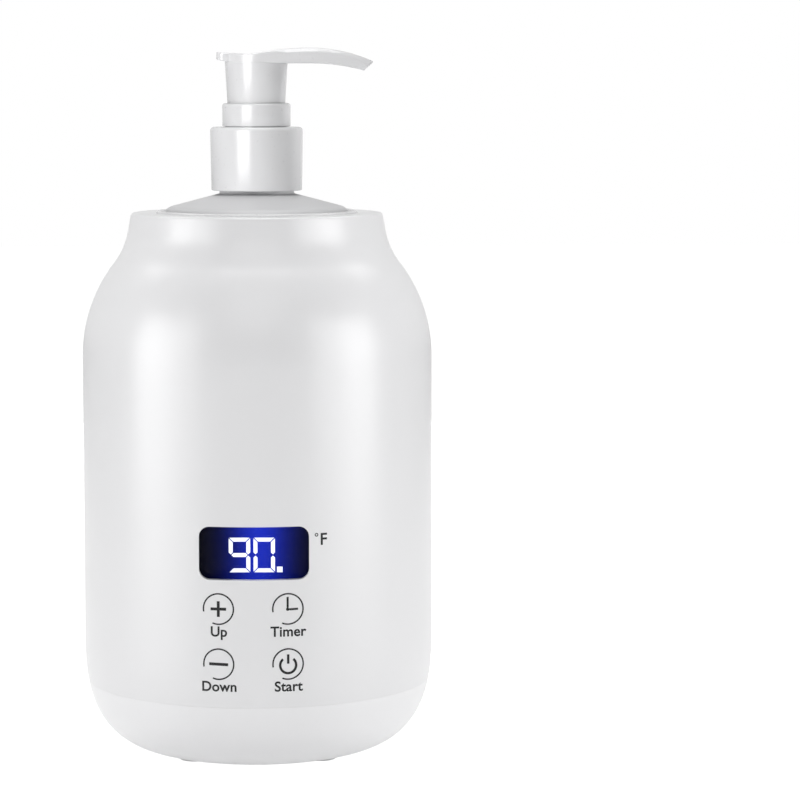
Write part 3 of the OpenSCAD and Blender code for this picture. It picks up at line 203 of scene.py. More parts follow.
class WarmerPumpShape(bpy.types.PropertyGroup):
    """Bottle neck, closure collar, guide ring and pump head"""

    bottle_wall: size_field("Bottle wall", "Wall thickness of the bottle", 1.6 * MM)
    bottle_heel: size_field("Bottle heel", "Rounding of the bottle's lower edge", 4 * MM)
    bottle_edge: size_field("Bottle edge", "Rounding of the bottle's shoulder edge", 3.5 * MM)
    bottle_rise: FloatProperty(
        name="Bottle rise", description="Rise of the bottle's shoulder towards its neck",
        default=math.radians(14.4), unit="ROTATION")
    bottle_drop: size_field(
        "Bottle drop", "How far the end of the bottle's side lies under the rim", 1.3 * MM)
    neck_r: size_field("Neck radius", "Radius of the bottle's neck under its thread", 11.75 * MM)
    root_r: size_field("Thread root", "Radius of the neck between its thread ridges", 10.85 * MM)
    crest_r: size_field("Thread crest", "Radius over the neck's thread ridges", 11.85 * MM)
    mouth_r: size_field("Mouth radius", "Radius of the bottle's mouth", 8.6 * MM)
    collar_r: size_field("Collar radius", "Radius of the collar at its lower edge", 14.3 * MM)
    neck_h: size_field("Neck height", "Height of the bottle's neck", 15.7 * MM)
    collar_hole_r: size_field("Collar hole", "Radius of the hole in the collar's top", 10.2 * MM)
    guide_floor_z: size_field(
        "Guide floor", "Height of the guide cup's floor above the table", 195.271 * MM)
    collar_edge: size_field("Collar edge", "Rounding of the collar's top edge", 1.2 * MM)
    barrel_r: size_field("Barrel radius", "Radius of the head's barrel at its lower end", 9.1 * MM)
    barrel_top_r: size_field(
        "Barrel top radius", "Radius of the head's barrel under the spout", 9.85 * MM)
    hump_h: size_field("Hump height", "Height of the spout's top above the barrel", 4.7 * MM)
    hump_x: size_field("Hump place", "Distance of the spout's top from the axis", 17 * MM)
    rest_w: size_field("Thumb rest", "Width of the thumb rest", 11 * MM)
    tip_w: size_field("Tip width", "Width of the spout at its tip", 9.2 * MM)
    tip_slant: size_field(
        "Tip slant", "How far the tip's face slants back to its lower edge", 2.6 * MM)
    spout_bevel: size_field(
        "Spout bevel", "Width of the bevel along the spout's top edges", 1.2 * MM)
    thread_pitch: size_field(
        "Thread pitch", "Rise of the bottle's thread in one turn", 3.175 * MM, precision=6)
    pump_colour: colour_field(
        "Pump colour", "Colour of the collar, guide ring and head", (0.80, 0.80, 0.81))
    bottle_colour: colour_field("Bottle colour", "Colour of the bottle", (0.68, 0.68, 0.69))


class WarmerStage(bpy.types.PropertyGroup):
    """Camera, lamps and backdrop"""

    distance: FloatProperty(
        name="Distance", description="Distance of the camera from the warmer's axis",
        default=0.979, unit="LENGTH")
    height: FloatProperty(
        name="Height", description="Height of the camera above the table",
        default=0.2125, unit="LENGTH")
    side_turn: FloatProperty(
        name="Side turn", description="How far the camera stands to the warmer's left",
        default=math.radians(1.5), unit="ROTATION")
    look_right: FloatProperty(
        name="Look right", description="How far the camera looks past the axis",
        default=math.radians(2.645), unit="ROTATION")
    look_down: FloatProperty(
        name="Look down", description="Downward tilt of the camera",
        default=math.radians(5.90), unit="ROTATION")
    lens: FloatProperty(
        name="Lens", description="Focal length on a 36 mm wide sensor",
        default=0.13923, unit="LENGTH")
    room_light: FloatProperty(
        name="Room light", description="Strength of the light from all round",
        default=0.0, min=0, max=5)


def named(name):
    """Names the object that was just added, and returns it."""
    piece = bpy.context.active_object
    piece.name = name
    piece.data.name = name
    return piece


def deselect_all():
    """Leaves edit mode and clears the selection."""
    active = bpy.context.view_layer.objects.active
    if active and active.mode != "OBJECT":
        bpy.ops.object.mode_set(mode="OBJECT")
    bpy.ops.object.select_all(action="DESELECT")


def pick(piece):
    """Makes one object the only selected and the active one."""
    deselect_all()
    piece.select_set(True)
    bpy.context.view_layer.objects.active = piece


def edit(piece):
    """Opens one object in edit mode with nothing selected."""
    pick(piece)
    bpy.ops.object.mode_set(mode="EDIT")
    bpy.ops.mesh.select_all(action="DESELECT")


def clean(piece, merge=0.001 * MM):
    """Merges doubled corners and points the faces outwards."""
    edit(piece)
    bpy.ops.mesh.select_all(action="SELECT")
    bpy.ops.mesh.remove_doubles(threshold=merge)
    bpy.ops.mesh.delete_loose(use_verts=True, use_edges=True, use_faces=False)
    bpy.ops.mesh.select_all(action="SELECT")
    bpy.ops.mesh.normals_make_consistent(inside=False)
    bpy.ops.object.mode_set(mode="OBJECT")
    return piece


def apply_place(piece):
    """Moves an object's place, turn and scale into its mesh."""
    pick(piece)
    bpy.ops.object.transform_apply(location=True, rotation=True, scale=True)
    return piece


def apply_modifier(piece, kind, **settings):
    """Adds a modifier with its settings and applies it."""
    pick(piece)
    change = piece.modifiers.new(kind.lower(), kind)
    for key, value in settings.items():
        setattr(change, key, value)
    bpy.ops.object.modifier_apply(modifier=change.name)
    return piece


def combine(piece, other, operation):
    """Cuts, joins or crosses a piece with another one, which is then removed."""
    apply_modifier(piece, "BOOLEAN", operation=operation, solver="EXACT", object=other)
    bpy.data.objects.remove(other)
    return piece


def join(first, *others):
    """Joins objects into the first one."""
    pick(first)
    for other in others:
        other.select_set(True)
    bpy.ops.object.join()
    return first


def copied(piece, name):
    """A copy with its own mesh."""
    twin = piece.copy()
    twin.data = piece.data.copy()
    twin.name = name
    twin.data.name = name
    bpy.context.scene.collection.objects.link(twin)
    return twin


def outline_loop(name, places, fill="NOTHING"):
    """A circle whose corners are moved to an outline's places."""
    deselect_all()
    bpy.ops.mesh.primitive_circle_add(vertices=len(places), radius=BODY_R, fill_type=fill)
    piece = named(name)
    for corner, place in zip(piece.data.vertices, places):
        corner.co = place
    return piece


def turned(name, outline, steps):
    """Spins a closed outline of radius and height pairs round the Z axis."""
    piece = outline_loop(name, [(r, 0, z) for r, z in outline])
    edit(piece)
    bpy.ops.mesh.select_all(action="SELECT")
    bpy.ops.mesh.spin(steps=steps, angle=math.tau, center=(0, 0, 0), axis=(0, 0, 1))
    return clean(piece)


def lofted(name, sections):
    """A closed skin through rows of places: a grid whose corners are moved, then closed."""
    count = len(sections[0])
    deselect_all()
    bpy.ops.mesh.primitive_grid_add(x_subdivisions=count, y_subdivisions=len(sections) - 1)
    piece = named(name)
    places = [p for section in sections for p in (*section, section[0])]
    for corner, place in zip(piece.data.vertices, places):
        corner.co = place
    clean(piece)
    edit(piece)
    bpy.ops.mesh.select_mode(type="EDGE")
    bpy.ops.mesh.select_non_manifold(extend=False)
    bpy.ops.mesh.fill()
    bpy.ops.mesh.select_mode(type="VERT")
    return clean(piece)


def plate(name, places, thickness):
    """A filled outline that is extruded along a direction."""
    piece = outline_loop(name, places, "NGON")
    edit(piece)
    bpy.ops.mesh.select_all(action="SELECT")
    bpy.ops.mesh.extrude_region_move(TRANSFORM_OT_translate={"value": thickness})
    return clean(piece)


def rod(name, r, start, end, steps=48):
    """A plain rod between two places, used to cut holes and as the start of a boss."""
    start, end = Vector(start), Vector(end)
    run = end - start
    deselect_all()
    bpy.ops.mesh.primitive_cylinder_add(
        vertices=steps, radius=r, depth=run.length, location=(start + end) / 2,
        rotation=run.to_track_quat("Z", "Y").to_euler())
    return apply_place(named(name))


def finish_piece(piece, body, material, nodes=(), smooth=35):
    """Shades a piece, gives it its finish, and hangs it on its body."""
    apply_place(piece)
    bpy.ops.object.shade_smooth_by_angle(angle=math.radians(smooth))
    piece.data.materials.clear()
    piece.data.materials.append(material)
    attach(piece, body)
    if nodes:
        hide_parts(*nodes)
    return piece


def arc(mid, r, start, end, steps):
    """Places along an arc in a plane, with its angles in degrees."""
    turns = [math.radians(start + (end - start) * i / steps) for i in range(steps + 1)]
    return [(mid[0] + r * math.cos(a), mid[1] + r * math.sin(a)) for a in turns]


def rounded_rect(w, h, r, steps=8):
    """Corners of a rectangle with rounded corners, about the origin."""
    x, y = w / 2 - r, h / 2 - r
    return (arc((x, y), r, 0, 90, steps) + arc((-x, y), r, 90, 180, steps)
            + arc((-x, -y), r, 180, 270, steps) + arc((x, -y), r, 270, 360, steps))


class BodyOutline:
    """The body's outline: squared bottom corner, side, shoulder, hollow neck and rim."""

    def __init__(self, shape):
        self.shape = shape
        self.upper_r = BODY_R - shape.side_draft
        self.foot_stand = BASE_LOW.z
        self.corner_mid_r = BODY_R - shape.corner_w
        self.corner_top = self.foot_stand + shape.corner_h
        self.shoulder_mid = Vector((self.upper_r - shape.shoulder_curve,
                                    BODY_TOP - shape.shoulder_depth))
        slope = shape.neck_slope
        out = Vector((math.cos(slope), math.sin(slope)))
        down = Vector((math.sin(slope), -math.cos(slope)))
        start = Vector((shape.rim_r, BODY_TOP)) + shape.neck_curve * out - self.shoulder_mid
        reach = shape.shoulder_curve + shape.neck_curve
        along = start.dot(down)
        run = -along - math.sqrt(along ** 2 - start.length_squared + reach ** 2)
        self.neck_mid = self.shoulder_mid + start + run * down
        away = self.neck_mid - self.shoulder_mid
        self.meet = math.degrees(math.atan2(away.y, away.x))

    def corner_angle(self, z, inset):
        """Angle on the bottom corner, in degrees, at which it passes a height."""
        part = (self.corner_top - z) / (self.shape.corner_h - inset)
        return math.degrees(math.asin(part ** (self.shape.corner_n / 2)))

    def corner_point(self, angle, inset):
        """Place on the bottom corner at an angle in degrees."""
        turn, power = math.radians(angle), 2 / self.shape.corner_n
        across = max(math.cos(turn), 0) ** power
        down = math.sin(turn) ** power
        return (self.corner_mid_r + (self.shape.corner_w - inset) * across,
                self.corner_top - (self.shape.corner_h - inset) * down)

    def corner_run(self, start, end, inset, steps):
        """Places along the bottom corner."""
        return [self.corner_point(start + (end - start) * i / steps, inset)
                for i in range(steps + 1)]

    def radius(self, z):
        """Outer radius of the side wall or the bottom corner at a height."""
        if z < self.corner_top:
            return self.corner_point(self.corner_angle(z, 0), 0)[0]
        share = (z - self.corner_top) / (self.shoulder_mid.y - self.corner_top)
        return BODY_R - min(share, 1) * self.shape.side_draft

    def side(self, inset, low_z, high_z, steps):
        """Places from a height in the bottom corner up to one in the neck."""
        shape = self.shape
        slope = shape.neck_slope
        high_r = shape.rim_r + (BODY_TOP - high_z) * math.tan(slope) - inset / math.cos(slope)
        wall = [(self.radius(z) - inset, z) for z in (
            self.corner_top + (self.shoulder_mid.y - self.corner_top) * i / steps
            for i in range(1, steps))]
        return (self.corner_run(self.corner_angle(low_z, inset), 0, inset, steps) + wall
                + arc(self.shoulder_mid, shape.shoulder_curve - inset, 0, self.meet, 2 * steps)
                + arc(self.neck_mid, shape.neck_curve + inset, 180 + self.meet,
                      180 + math.degrees(slope), steps)
                + [(high_r, high_z)])


class Tree:
    """Adds nodes and links to a node tree with few words."""

    def __init__(self, tree):
        self.tree = tree

    def node(self, kind, operation=None, **inputs):
        """A node with some of its inputs linked or set, by name or as in0, in1, in2."""
        made = self.tree.nodes.new("ShaderNode" + kind)
        if operation:
            made.operation = operation
        for key, value in inputs.items():
            plain = key[2:].isdigit() and key.startswith("in")
            self.set(made.inputs[int(key[2:]) if plain else key.replace("_", " ")], value)
        return made

    def set(self, socket, value):
        """Links or sets one input."""
        if isinstance(value, bpy.types.NodeSocket):
            self.tree.links.new(value, socket)
        else:
            socket.default_value = value

    def math(self, operation, *values):
        """The result of a math node."""
        inputs = {f"in{i}": value for i, value in enumerate(values)}
        return self.node("Math", operation, **inputs).outputs[0]


def shared_group(name, inputs, outputs):
    """An empty shader node group with its sockets."""
    tree = bpy.data.node_groups.new(name, "ShaderNodeTree")
    kinds = {"colour": "NodeSocketColor", "value": "NodeSocketFloat", "vector": "NodeSocketVector"}
    for socket, kind in inputs.items():
        tree.interface.new_socket(socket, in_out="INPUT", socket_type=kinds[kind])
    for socket, kind in outputs.items():
        tree.interface.new_socket(socket, in_out="OUTPUT", socket_type=kinds[kind])
    return tree


def moulded_group():
    """Finish shared by all opaque pieces: faint mottling, uneven gloss and a fine relief."""
    tree = shared_group(
        "Moulded finish",
        {"Colour": "colour", "Mottling": "value", "Gloss": "value", "Grain": "value",
         "Relief": "value"},
        {"Colour": "colour", "Roughness": "value", "Normal": "vector"})
    make = Tree(tree)
    given = tree.nodes.new("NodeGroupInput").outputs
    result = tree.nodes.new("NodeGroupOutput").inputs
    place = make.node("TexCoord").outputs["Object"]
    broad = make.node("TexNoise", Vector=place, Scale=55.0, Detail=2.0).outputs["Fac"]
    fine = make.node("TexNoise", Vector=place, Scale=given["Grain"], Detail=3.0).outputs["Fac"]
    shift = make.math("MULTIPLY", make.math("SUBTRACT", broad, 0.5), given["Mottling"])
    tint = make.node("VectorMath", "SCALE", in0=given["Colour"])
    make.set(tint.inputs["Scale"], make.math("ADD", shift, 1.0))
    uneven = make.math("MULTIPLY", make.math("SUBTRACT", fine, 0.5), 0.12)
    gloss = make.math("MULTIPLY", given["Gloss"], make.math("ADD", uneven, 1.0))
    relief = make.node("Bump", Strength=1.0, Distance=given["Relief"], Height=fine)
    make.set(result["Colour"], tint.outputs[0])
    make.set(result["Roughness"], gloss)
    make.set(result["Normal"], relief.outputs["Normal"])
    return tree


def glow_group():
    """Light of the backlight: brightest in the middle, fading to the sides and downwards."""
    tree = shared_group(
        "Backlight glow",
        {"Colour": "colour", "Middle": "vector", "Spread": "value"},
        {"Colour": "colour"})
    make = Tree(tree)
    given = tree.nodes.new("NodeGroupInput").outputs
    result = tree.nodes.new("NodeGroupOutput").inputs
    place = make.node("TexCoord").outputs["Object"]
    away = make.node("VectorMath", "SUBTRACT", in0=place, in1=given["Middle"]).outputs[0]
    parts = make.node("SeparateXYZ", Vector=away).outputs
    across = make.math("DIVIDE", parts["X"], given["Spread"])
    fall = make.math("EXPONENT", make.math("MULTIPLY", make.math("POWER", make.math(
        "ABSOLUTE", across), 2.0), -0.5))
    height = make.math("ADD", make.math("MULTIPLY", parts["Z"], 12.0), 1.0)
    grain = make.node("TexNoise", Vector=place, Scale=260.0, Detail=2.0).outputs["Fac"]
    patchy = make.math("ADD", make.math("MULTIPLY", grain, 0.10), 0.95)
    level = make.math("MULTIPLY", make.math("MULTIPLY", fall, height), patchy)
    light = make.node("VectorMath", "SCALE", in0=given["Colour"])
    make.set(light.inputs["Scale"], level)
    make.set(result["Colour"], light.outputs[0])
    return tree


def blank_material(name):
    """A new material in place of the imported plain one, the means to add nodes, its shader."""
    packed = bpy.data.materials.get(name)
    if packed:
        bpy.data.materials.remove(packed)
    made = bpy.data.materials.new(name)
    made.use_nodes = True
    shader = made.node_tree.nodes["Principled BSDF"]
    return made, Tree(made.node_tree), shader


def moulded(name, colour, gloss, metallic=0.0, mottling=0.03, grain=900.0, relief=0.004,
            coat=0.0, coat_gloss=0.25, specular=0.5, soft=0.0):
    """A material that takes its look from the shared finish."""
    made, tree, shader = blank_material(name)
    look = made.node_tree.nodes.new("ShaderNodeGroup")
    look.node_tree = bpy.data.node_groups["Moulded finish"]
    tree.set(look.inputs["Colour"], (*colour, 1.0))
    tree.set(look.inputs["Mottling"], mottling)
    tree.set(look.inputs["Gloss"], gloss)
    tree.set(look.inputs["Grain"], grain)
    tree.set(look.inputs["Relief"], relief * MM)
    tree.set(shader.inputs["Base Color"], look.outputs["Colour"])
    tree.set(shader.inputs["Roughness"], look.outputs["Roughness"])
    tree.set(shader.inputs["Normal"], look.outputs["Normal"])
    tree.set(shader.inputs["Metallic"], metallic)
    tree.set(shader.inputs["Coat Weight"], coat)
    tree.set(shader.inputs["Coat Roughness"], coat_gloss)
    tree.set(shader.inputs["Specular IOR Level"], specular)
    if soft:
        tree.set(shader.inputs["Subsurface Weight"], soft)
        tree.set(shader.inputs["Subsurface Scale"], 0.6 * MM)
    return made


# Finishes of the record's material slots, apart from the lit and clear ones
FINISHES = {
    "frame_black": dict(colour=(0.010, 0.010, 0.011), gloss=0.55),
    "board_green": dict(colour=(0.015, 0.085, 0.035), gloss=0.35, mottling=0.2, coat=0.3),
    "chip_black": dict(colour=(0.014, 0.014, 0.015), gloss=0.5, relief=0.01),
    "steel": dict(colour=(0.56, 0.57, 0.58), gloss=0.25, metallic=1.0, grain=2500.0),
    "brass_tin": dict(colour=(0.62, 0.56, 0.42), gloss=0.28, metallic=1.0, grain=2500.0),
    "copper_wire": dict(colour=(0.72, 0.30, 0.14), gloss=0.30, metallic=1.0, mottling=0.2),
    "well_aluminium": dict(colour=(0.66, 0.67, 0.68), gloss=0.34, metallic=1.0, grain=1800.0),
    "seal_silicone": dict(colour=(0.60, 0.60, 0.60), gloss=0.6, specular=0.35),
    "pad_silicone": dict(colour=(0.22, 0.23, 0.25), gloss=0.65, specular=0.35),
    "film_amber": dict(colour=(0.52, 0.20, 0.035), gloss=0.22, mottling=0.15, coat=0.4),
    "felt_cream": dict(colour=(0.66, 0.63, 0.54), gloss=0.95, mottling=0.2, relief=0.12,
                       specular=0.1),
    "fuse_ceramic": dict(colour=(0.66, 0.60, 0.48), gloss=0.45, mottling=0.08),
    "lead_white": dict(colour=(0.68, 0.68, 0.67), gloss=0.42),
    "lead_red": dict(colour=(0.42, 0.018, 0.014), gloss=0.42),
    "cap_blue": dict(colour=(0.012, 0.022, 0.10), gloss=0.32, coat=0.3),
    "connector_cream": dict(colour=(0.72, 0.69, 0.58), gloss=0.45),
    "pump_natural": dict(colour=(0.72, 0.73, 0.72), gloss=0.35, soft=0.2),
    "foot_grey": dict(colour=(0.80, 0.80, 0.80), gloss=0.75, relief=0.02, specular=0.3),
}


class WARMER_OT_finishes(bpy.types.Operator):
    """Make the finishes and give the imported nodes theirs"""

    bl_idname = "warmer.finishes"
    bl_label = "Finishes"

    def execute(self, context):
        scene = context.scene
        body, display, pump = scene.warmer_body, scene.warmer_display, scene.warmer_pump
        moulded_group()
        glow_group()
        for slot, look in FINISHES.items():
            moulded(slot, **look)
        moulded("shell_white", body.shell_colour, 0.30, mottling=0.008, relief=0.002, coat=1.0,
                coat_gloss=0.32, specular=0.75)
        # The base: the shell's white made lighter, painted light for the brighter fill on the base.
        moulded("base_white", body.base_colour_with_painted_fill, 0.30, mottling=0.008, relief=0.002, coat=1.0,
                coat_gloss=0.32, specular=0.75)
        moulded("pump_white", pump.pump_colour, 0.28, mottling=0.012, relief=0.002, coat=0.8,
                coat_gloss=0.15)
        moulded("bottle_white", pump.bottle_colour, 0.38, mottling=0.02, relief=0.003)
        moulded("sign_ink", display.ink_colour, 0.5, mottling=0.1)
        self.window_material()
        self.panel_material(display)
        self.digit_material()
        for entry in frame["record"]["subparts"]:
            piece = frame["nodes"][entry["node"]]
            piece.data.materials.clear()
            piece.data.materials.append(bpy.data.materials[entry["material_slot"]])
        return {"FINISHED"}

    def window_material(self):
        """Clear, faintly smoked plastic with uneven gloss."""
        made, tree, shader = blank_material("window_tint")
        place = tree.node("TexCoord").outputs["Object"]
        smear = tree.node("TexNoise", Vector=place, Scale=180.0, Detail=3.0).outputs["Fac"]
        rough = tree.math("ADD", tree.math("MULTIPLY", smear, 0.04), 0.06)
        smoke = tree.math("ADD", tree.math("MULTIPLY", smear, 0.02), 0.06)
        shade = tree.node("Mix")
        shade.data_type = "RGBA"
        tree.set(shade.inputs["Factor"], smear)
        tree.set(shade.inputs["A"], (0.003, 0.003, 0.006, 1.0))
        tree.set(shade.inputs["B"], (0.005, 0.005, 0.009, 1.0))
        tree.set(shader.inputs["Base Color"], shade.outputs["Result"])
        tree.set(shader.inputs["Roughness"], rough)
        tree.set(shader.inputs["Specular IOR Level"], 0.1)
        tree.set(shader.inputs["Alpha"], smoke)

    def panel_material(self, display):
        """Blue backlight behind a dark glass."""
        made, tree, shader = blank_material("display_blue")
        look = made.node_tree.nodes.new("ShaderNodeGroup")
        look.node_tree = bpy.data.node_groups["Backlight glow"]
        middle = (PANEL_LOW + PANEL_HIGH) / 2
        middle.x += display.glow_shift
        tree.set(look.inputs["Colour"], (*display.glow_colour, 1.0))
        tree.set(look.inputs["Middle"], middle)
        tree.set(look.inputs["Spread"], display.glow_spread)
        place = tree.node("TexCoord").outputs["Object"]
        grain = tree.node("TexNoise", Vector=place, Scale=600.0).outputs["Fac"]
        rough = tree.math("ADD", tree.math("MULTIPLY", grain, 0.05), 0.3)
        tree.set(shader.inputs["Base Color"], (0.002, 0.002, 0.004, 1.0))
        tree.set(shader.inputs["Roughness"], rough)
        tree.set(shader.inputs["Specular IOR Level"], 0.1)
        tree.set(shader.inputs["Emission Color"], look.outputs["Colour"])
        tree.set(shader.inputs["Emission Strength"], 1.0)

    def digit_material(self):
        """White light of the digits."""
        made, tree, shader = blank_material("digit_white")
        place = tree.node("TexCoord").outputs["Object"]
        grain = tree.node("TexNoise", Vector=place, Scale=400.0).outputs["Fac"]
        light = tree.node("Mix")
        light.data_type = "RGBA"
        tree.set(light.inputs["Factor"], grain)
        tree.set(light.inputs["A"], (0.80, 0.84, 1.0, 1.0))
        tree.set(light.inputs["B"], (0.90, 0.92, 1.0, 1.0))
        tree.set(shader.inputs["Base Color"], light.outputs["Result"])
        tree.set(shader.inputs["Emission Color"], light.outputs["Result"])
        tree.set(shader.inputs["Emission Strength"], 0.95)


class WARMER_OT_shell(bpy.types.Operator):
    """Build the outer shell with its display opening and its power socket recess"""

    bl_idname = "warmer.shell"
    bl_label = "Outer shell"

    def execute(self, context):
        shape, display = context.scene.warmer_body, context.scene.warmer_display
        line = BodyOutline(shape)
        plate_z = BODY_TOP - shape.shell_t
        seam_z = shape.seam_z + shape.seam_gap / 2
        outer = line.side(0, seam_z + shape.seam_edge, BODY_TOP - shape.rim_edge, 16)
        rim_mid = (shape.rim_r - shape.rim_edge, BODY_TOP - shape.rim_edge)
        outline = (
            [(outer[0][0] - shape.seam_edge, seam_z)] + outer
            + arc(rim_mid, shape.rim_edge, 0, 90, 6)
            + [(shape.opening_r, BODY_TOP), (shape.opening_r, plate_z)]
            + list(reversed(line.side(shape.shell_t, seam_z, plate_z, 8))))
        shell = turned("outer_shell_body", outline, shape.turn_steps)
        window = self.window_cut(display)
        combine(shell, window, "DIFFERENCE")
        jack_z = (JACK_LOW.z + JACK_HIGH.z) / 2
        jack_r = (JACK_HIGH.x - JACK_LOW.x) / 2
        floor_y = JACK_HIGH.y - display.socket_flange
        pad = rod("socket_pad", jack_r + 2.2 * MM, (0, floor_y - shape.shell_t, jack_z),
                  (0, BODY_R - 1.2 * MM, jack_z))
        combine(shell, pad, "UNION")
        recess = rod("socket_recess", jack_r + 0.1 * MM, (0, floor_y, jack_z),
                     (0, BODY_R + MM, jack_z), 72)
        combine(shell, recess, "DIFFERENCE")
        hole = rod("socket_hole", 4.1 * MM, (0, floor_y - 9 * MM, jack_z), (0, BODY_R, jack_z))
        combine(shell, hole, "DIFFERENCE")
        finish_piece(shell, "warmer", bpy.data.materials["shell_white"],
                     ["outer_shell"])
        return {"FINISHED"}

    def window_cut(self, display):
        """A block with four rounded edges through the front wall."""
        low, high = WINDOW_LOW, WINDOW_HIGH
        middle = (low + high) / 2
        places = [(x, -BODY_R - MM, middle.z + z) for x, z in rounded_rect(
            display.window_w, display.window_h, display.window_corner)]
        return plate("window_cut", places, (0, 20 * MM, 0))


# Base screws: radius and top of a post, of the hole for the screw's head, of the plug that closes
# the hole, and of the bore through the post
POST_R, POST_TOP = 4.4 * MM, 13 * MM
HOLE_R, HOLE_TOP = 3.15 * MM, 8.7 * MM
PLUG_R, PLUG_TOP = 3.13 * MM, 6.5 * MM
BORE_R, BORE_TOP = 1.65 * MM, 14 * MM


class WARMER_OT_base(bpy.types.Operator):
    """Build the base with its spigot, its plugged screw holes and its rubber feet"""

    bl_idname = "warmer.base"
    bl_label = "Base and feet"

    def execute(self, context):
        shape = context.scene.warmer_body
        line = BodyOutline(shape)
        seam_z = shape.seam_z - shape.seam_gap / 2
        floor_z = BASE_LOW.z + shape.shell_t
        edge_z = seam_z - shape.seam_edge
        outer = line.corner_run(90, line.corner_angle(edge_z, 0), 0, 32)
        inner_end = line.corner_angle(seam_z - 4 * MM, shape.shell_t)
        inner = line.corner_run(inner_end, 90, shape.shell_t, 20)
        spigot_r = line.corner_point(
            line.corner_angle(seam_z, shape.shell_t), shape.shell_t)[0] - 0.2 * MM
        spigot_in = spigot_r - 1.3 * MM
        outline = (
            [(0, BASE_LOW.z)] + outer + [(outer[-1][0] - shape.seam_edge, seam_z),
            (spigot_r, seam_z), (spigot_r, BASE_HIGH.z), (spigot_in, BASE_HIGH.z),
            (spigot_in, seam_z - MM)] + inner + [(0, floor_z)])
        base = turned("base_shell_body", outline, shape.turn_steps)
        half = shape.shell_t / 2
        solid = {depth: turned("inside", [(0, BASE_LOW.z + depth)] + line.corner_run(
            90, line.corner_angle(seam_z, depth), depth, 24) + [(0, seam_z)], shape.turn_steps)
            for depth in (0, half)}
        plugs = []
        for quarter in range(4):
            turn = math.radians(45 + 90 * quarter)
            at = Vector((math.cos(turn), math.sin(turn), 0)) * shape.screw_circle
            post = rod("screw_post", POST_R, at, at + Vector((0, 0, POST_TOP)))
            combine(base, combine(post, copied(solid[half], "limit"), "INTERSECT"), "UNION")
            hole = rod("screw_hole", HOLE_R, at, at + Vector((0, 0, HOLE_TOP)))
            combine(base, hole, "DIFFERENCE")
            plug = rod("screw_plug", PLUG_R, at, at + Vector((0, 0, PLUG_TOP)))
            plugs.append(combine(plug, copied(solid[0], "limit"), "INTERSECT"))
            bore = rod("screw_bore", BORE_R, at, at + Vector((0, 0, BORE_TOP)), 32)
            combine(base, bore, "DIFFERENCE")
            at = Vector((math.cos(turn), math.sin(turn), 0)) * shape.foot_circle
            recess = rod("foot_recess", shape.foot_r + 0.1 * MM, at,
                         at + Vector((0, 0, FEET_HIGH.z)))
            combine(base, recess, "DIFFERENCE")
        finish_piece(base, "warmer", bpy.data.materials["base_white"],
                     ["base_shell"])
        plugs = join(*plugs)
        plugs.name = "screw_plugs"
        finish_piece(plugs, "warmer", bpy.data.materials["base_white"])
        for limit in solid.values():
            bpy.data.objects.remove(limit)
        self.feet(shape)
        return {"FINISHED"}

    def feet(self, shape):
        """One rubber foot, copied to four places."""
        edge = 0.6 * MM
        outline = (
            [(0, 0)] + arc((shape.foot_r - edge, edge), edge, -90, 0, 6)
            + [(shape.foot_r, FEET_HIGH.z), (0, FEET_HIGH.z)])
        first = turned("foot", outline, 64)
        feet = []
        for quarter in range(4):
            foot = copied(first, f"foot_{quarter + 1}")
            turn = math.radians(45 + 90 * quarter)
            foot.location = Vector((math.cos(turn), math.sin(turn), 0)) * shape.foot_circle
            feet.append(apply_place(foot))
        bpy.data.objects.remove(first)
        soft = join(*feet)
        soft.name = "rubber_feet_soft"
        finish_piece(soft, "warmer", bpy.data.materials["foot_grey"],
                     ["rubber_feet"])


class WARMER_OT_socket(bpy.types.Operator):
    """Build the power socket in the back"""

    bl_idname = "warmer.socket"
    bl_label = "Power socket"

    def execute(self, context):
        display = context.scene.warmer_display
        jack_z = (JACK_LOW.z + JACK_HIGH.z) / 2
        flange_r = (JACK_HIGH.x - JACK_LOW.x) / 2
        front, back = JACK_HIGH.y, JACK_LOW.y
        edge, bore, barrel = 0.4 * MM, 2.85 * MM, 4 * MM
        flange = front - display.socket_flange
        block = back + 4 * MM
        outline = (
            [(0, back), (barrel + 0.6 * MM, back), (barrel + 0.6 * MM, block), (barrel, block),
             (barrel, flange), (flange_r, flange)]
            + arc((flange_r - edge, front - edge), edge, 0, 90, 5)
            + arc((bore + edge, front - edge), edge, 90, 180, 5)
            + [(bore, block + 1.5 * MM), (0, block + 1.5 * MM)])
        jack = turned("power_socket_body", outline, 96)
        jack.rotation_euler = (-math.pi / 2, 0, 0)
        jack.location = (0, 0, jack_z)
        finish_piece(jack, "warmer", bpy.data.materials["chip_black"], ["dc_jack"])
        return {"FINISHED"}


class WARMER_OT_trim(bpy.types.Operator):
    """Build the trim ring round the opening"""

    bl_idname = "warmer.trim"
    bl_label = "Trim ring"

    def execute(self, context):
        shape = context.scene.warmer_body
        plate_z = BODY_TOP - shape.shell_t
        out_r = shape.opening_r - 0.1 * MM
        in_r = out_r - shape.trim_w
        lip = shape.trim_w / 2
        lip_z = TRIM_HIGH.z - lip
        outline = (
            [(in_r, TRIM_LOW.z), (TRIM_HIGH.x, TRIM_LOW.z), (TRIM_HIGH.x, plate_z),
             (out_r, plate_z)]
            + arc((out_r - lip, lip_z), lip, 0, 180, 14))
        ring = turned("trim_ring_lip", outline, shape.turn_steps)
        finish_piece(ring, "warmer", bpy.data.materials["pump_white"],
                     ["trim_ring"])
        return {"FINISHED"}


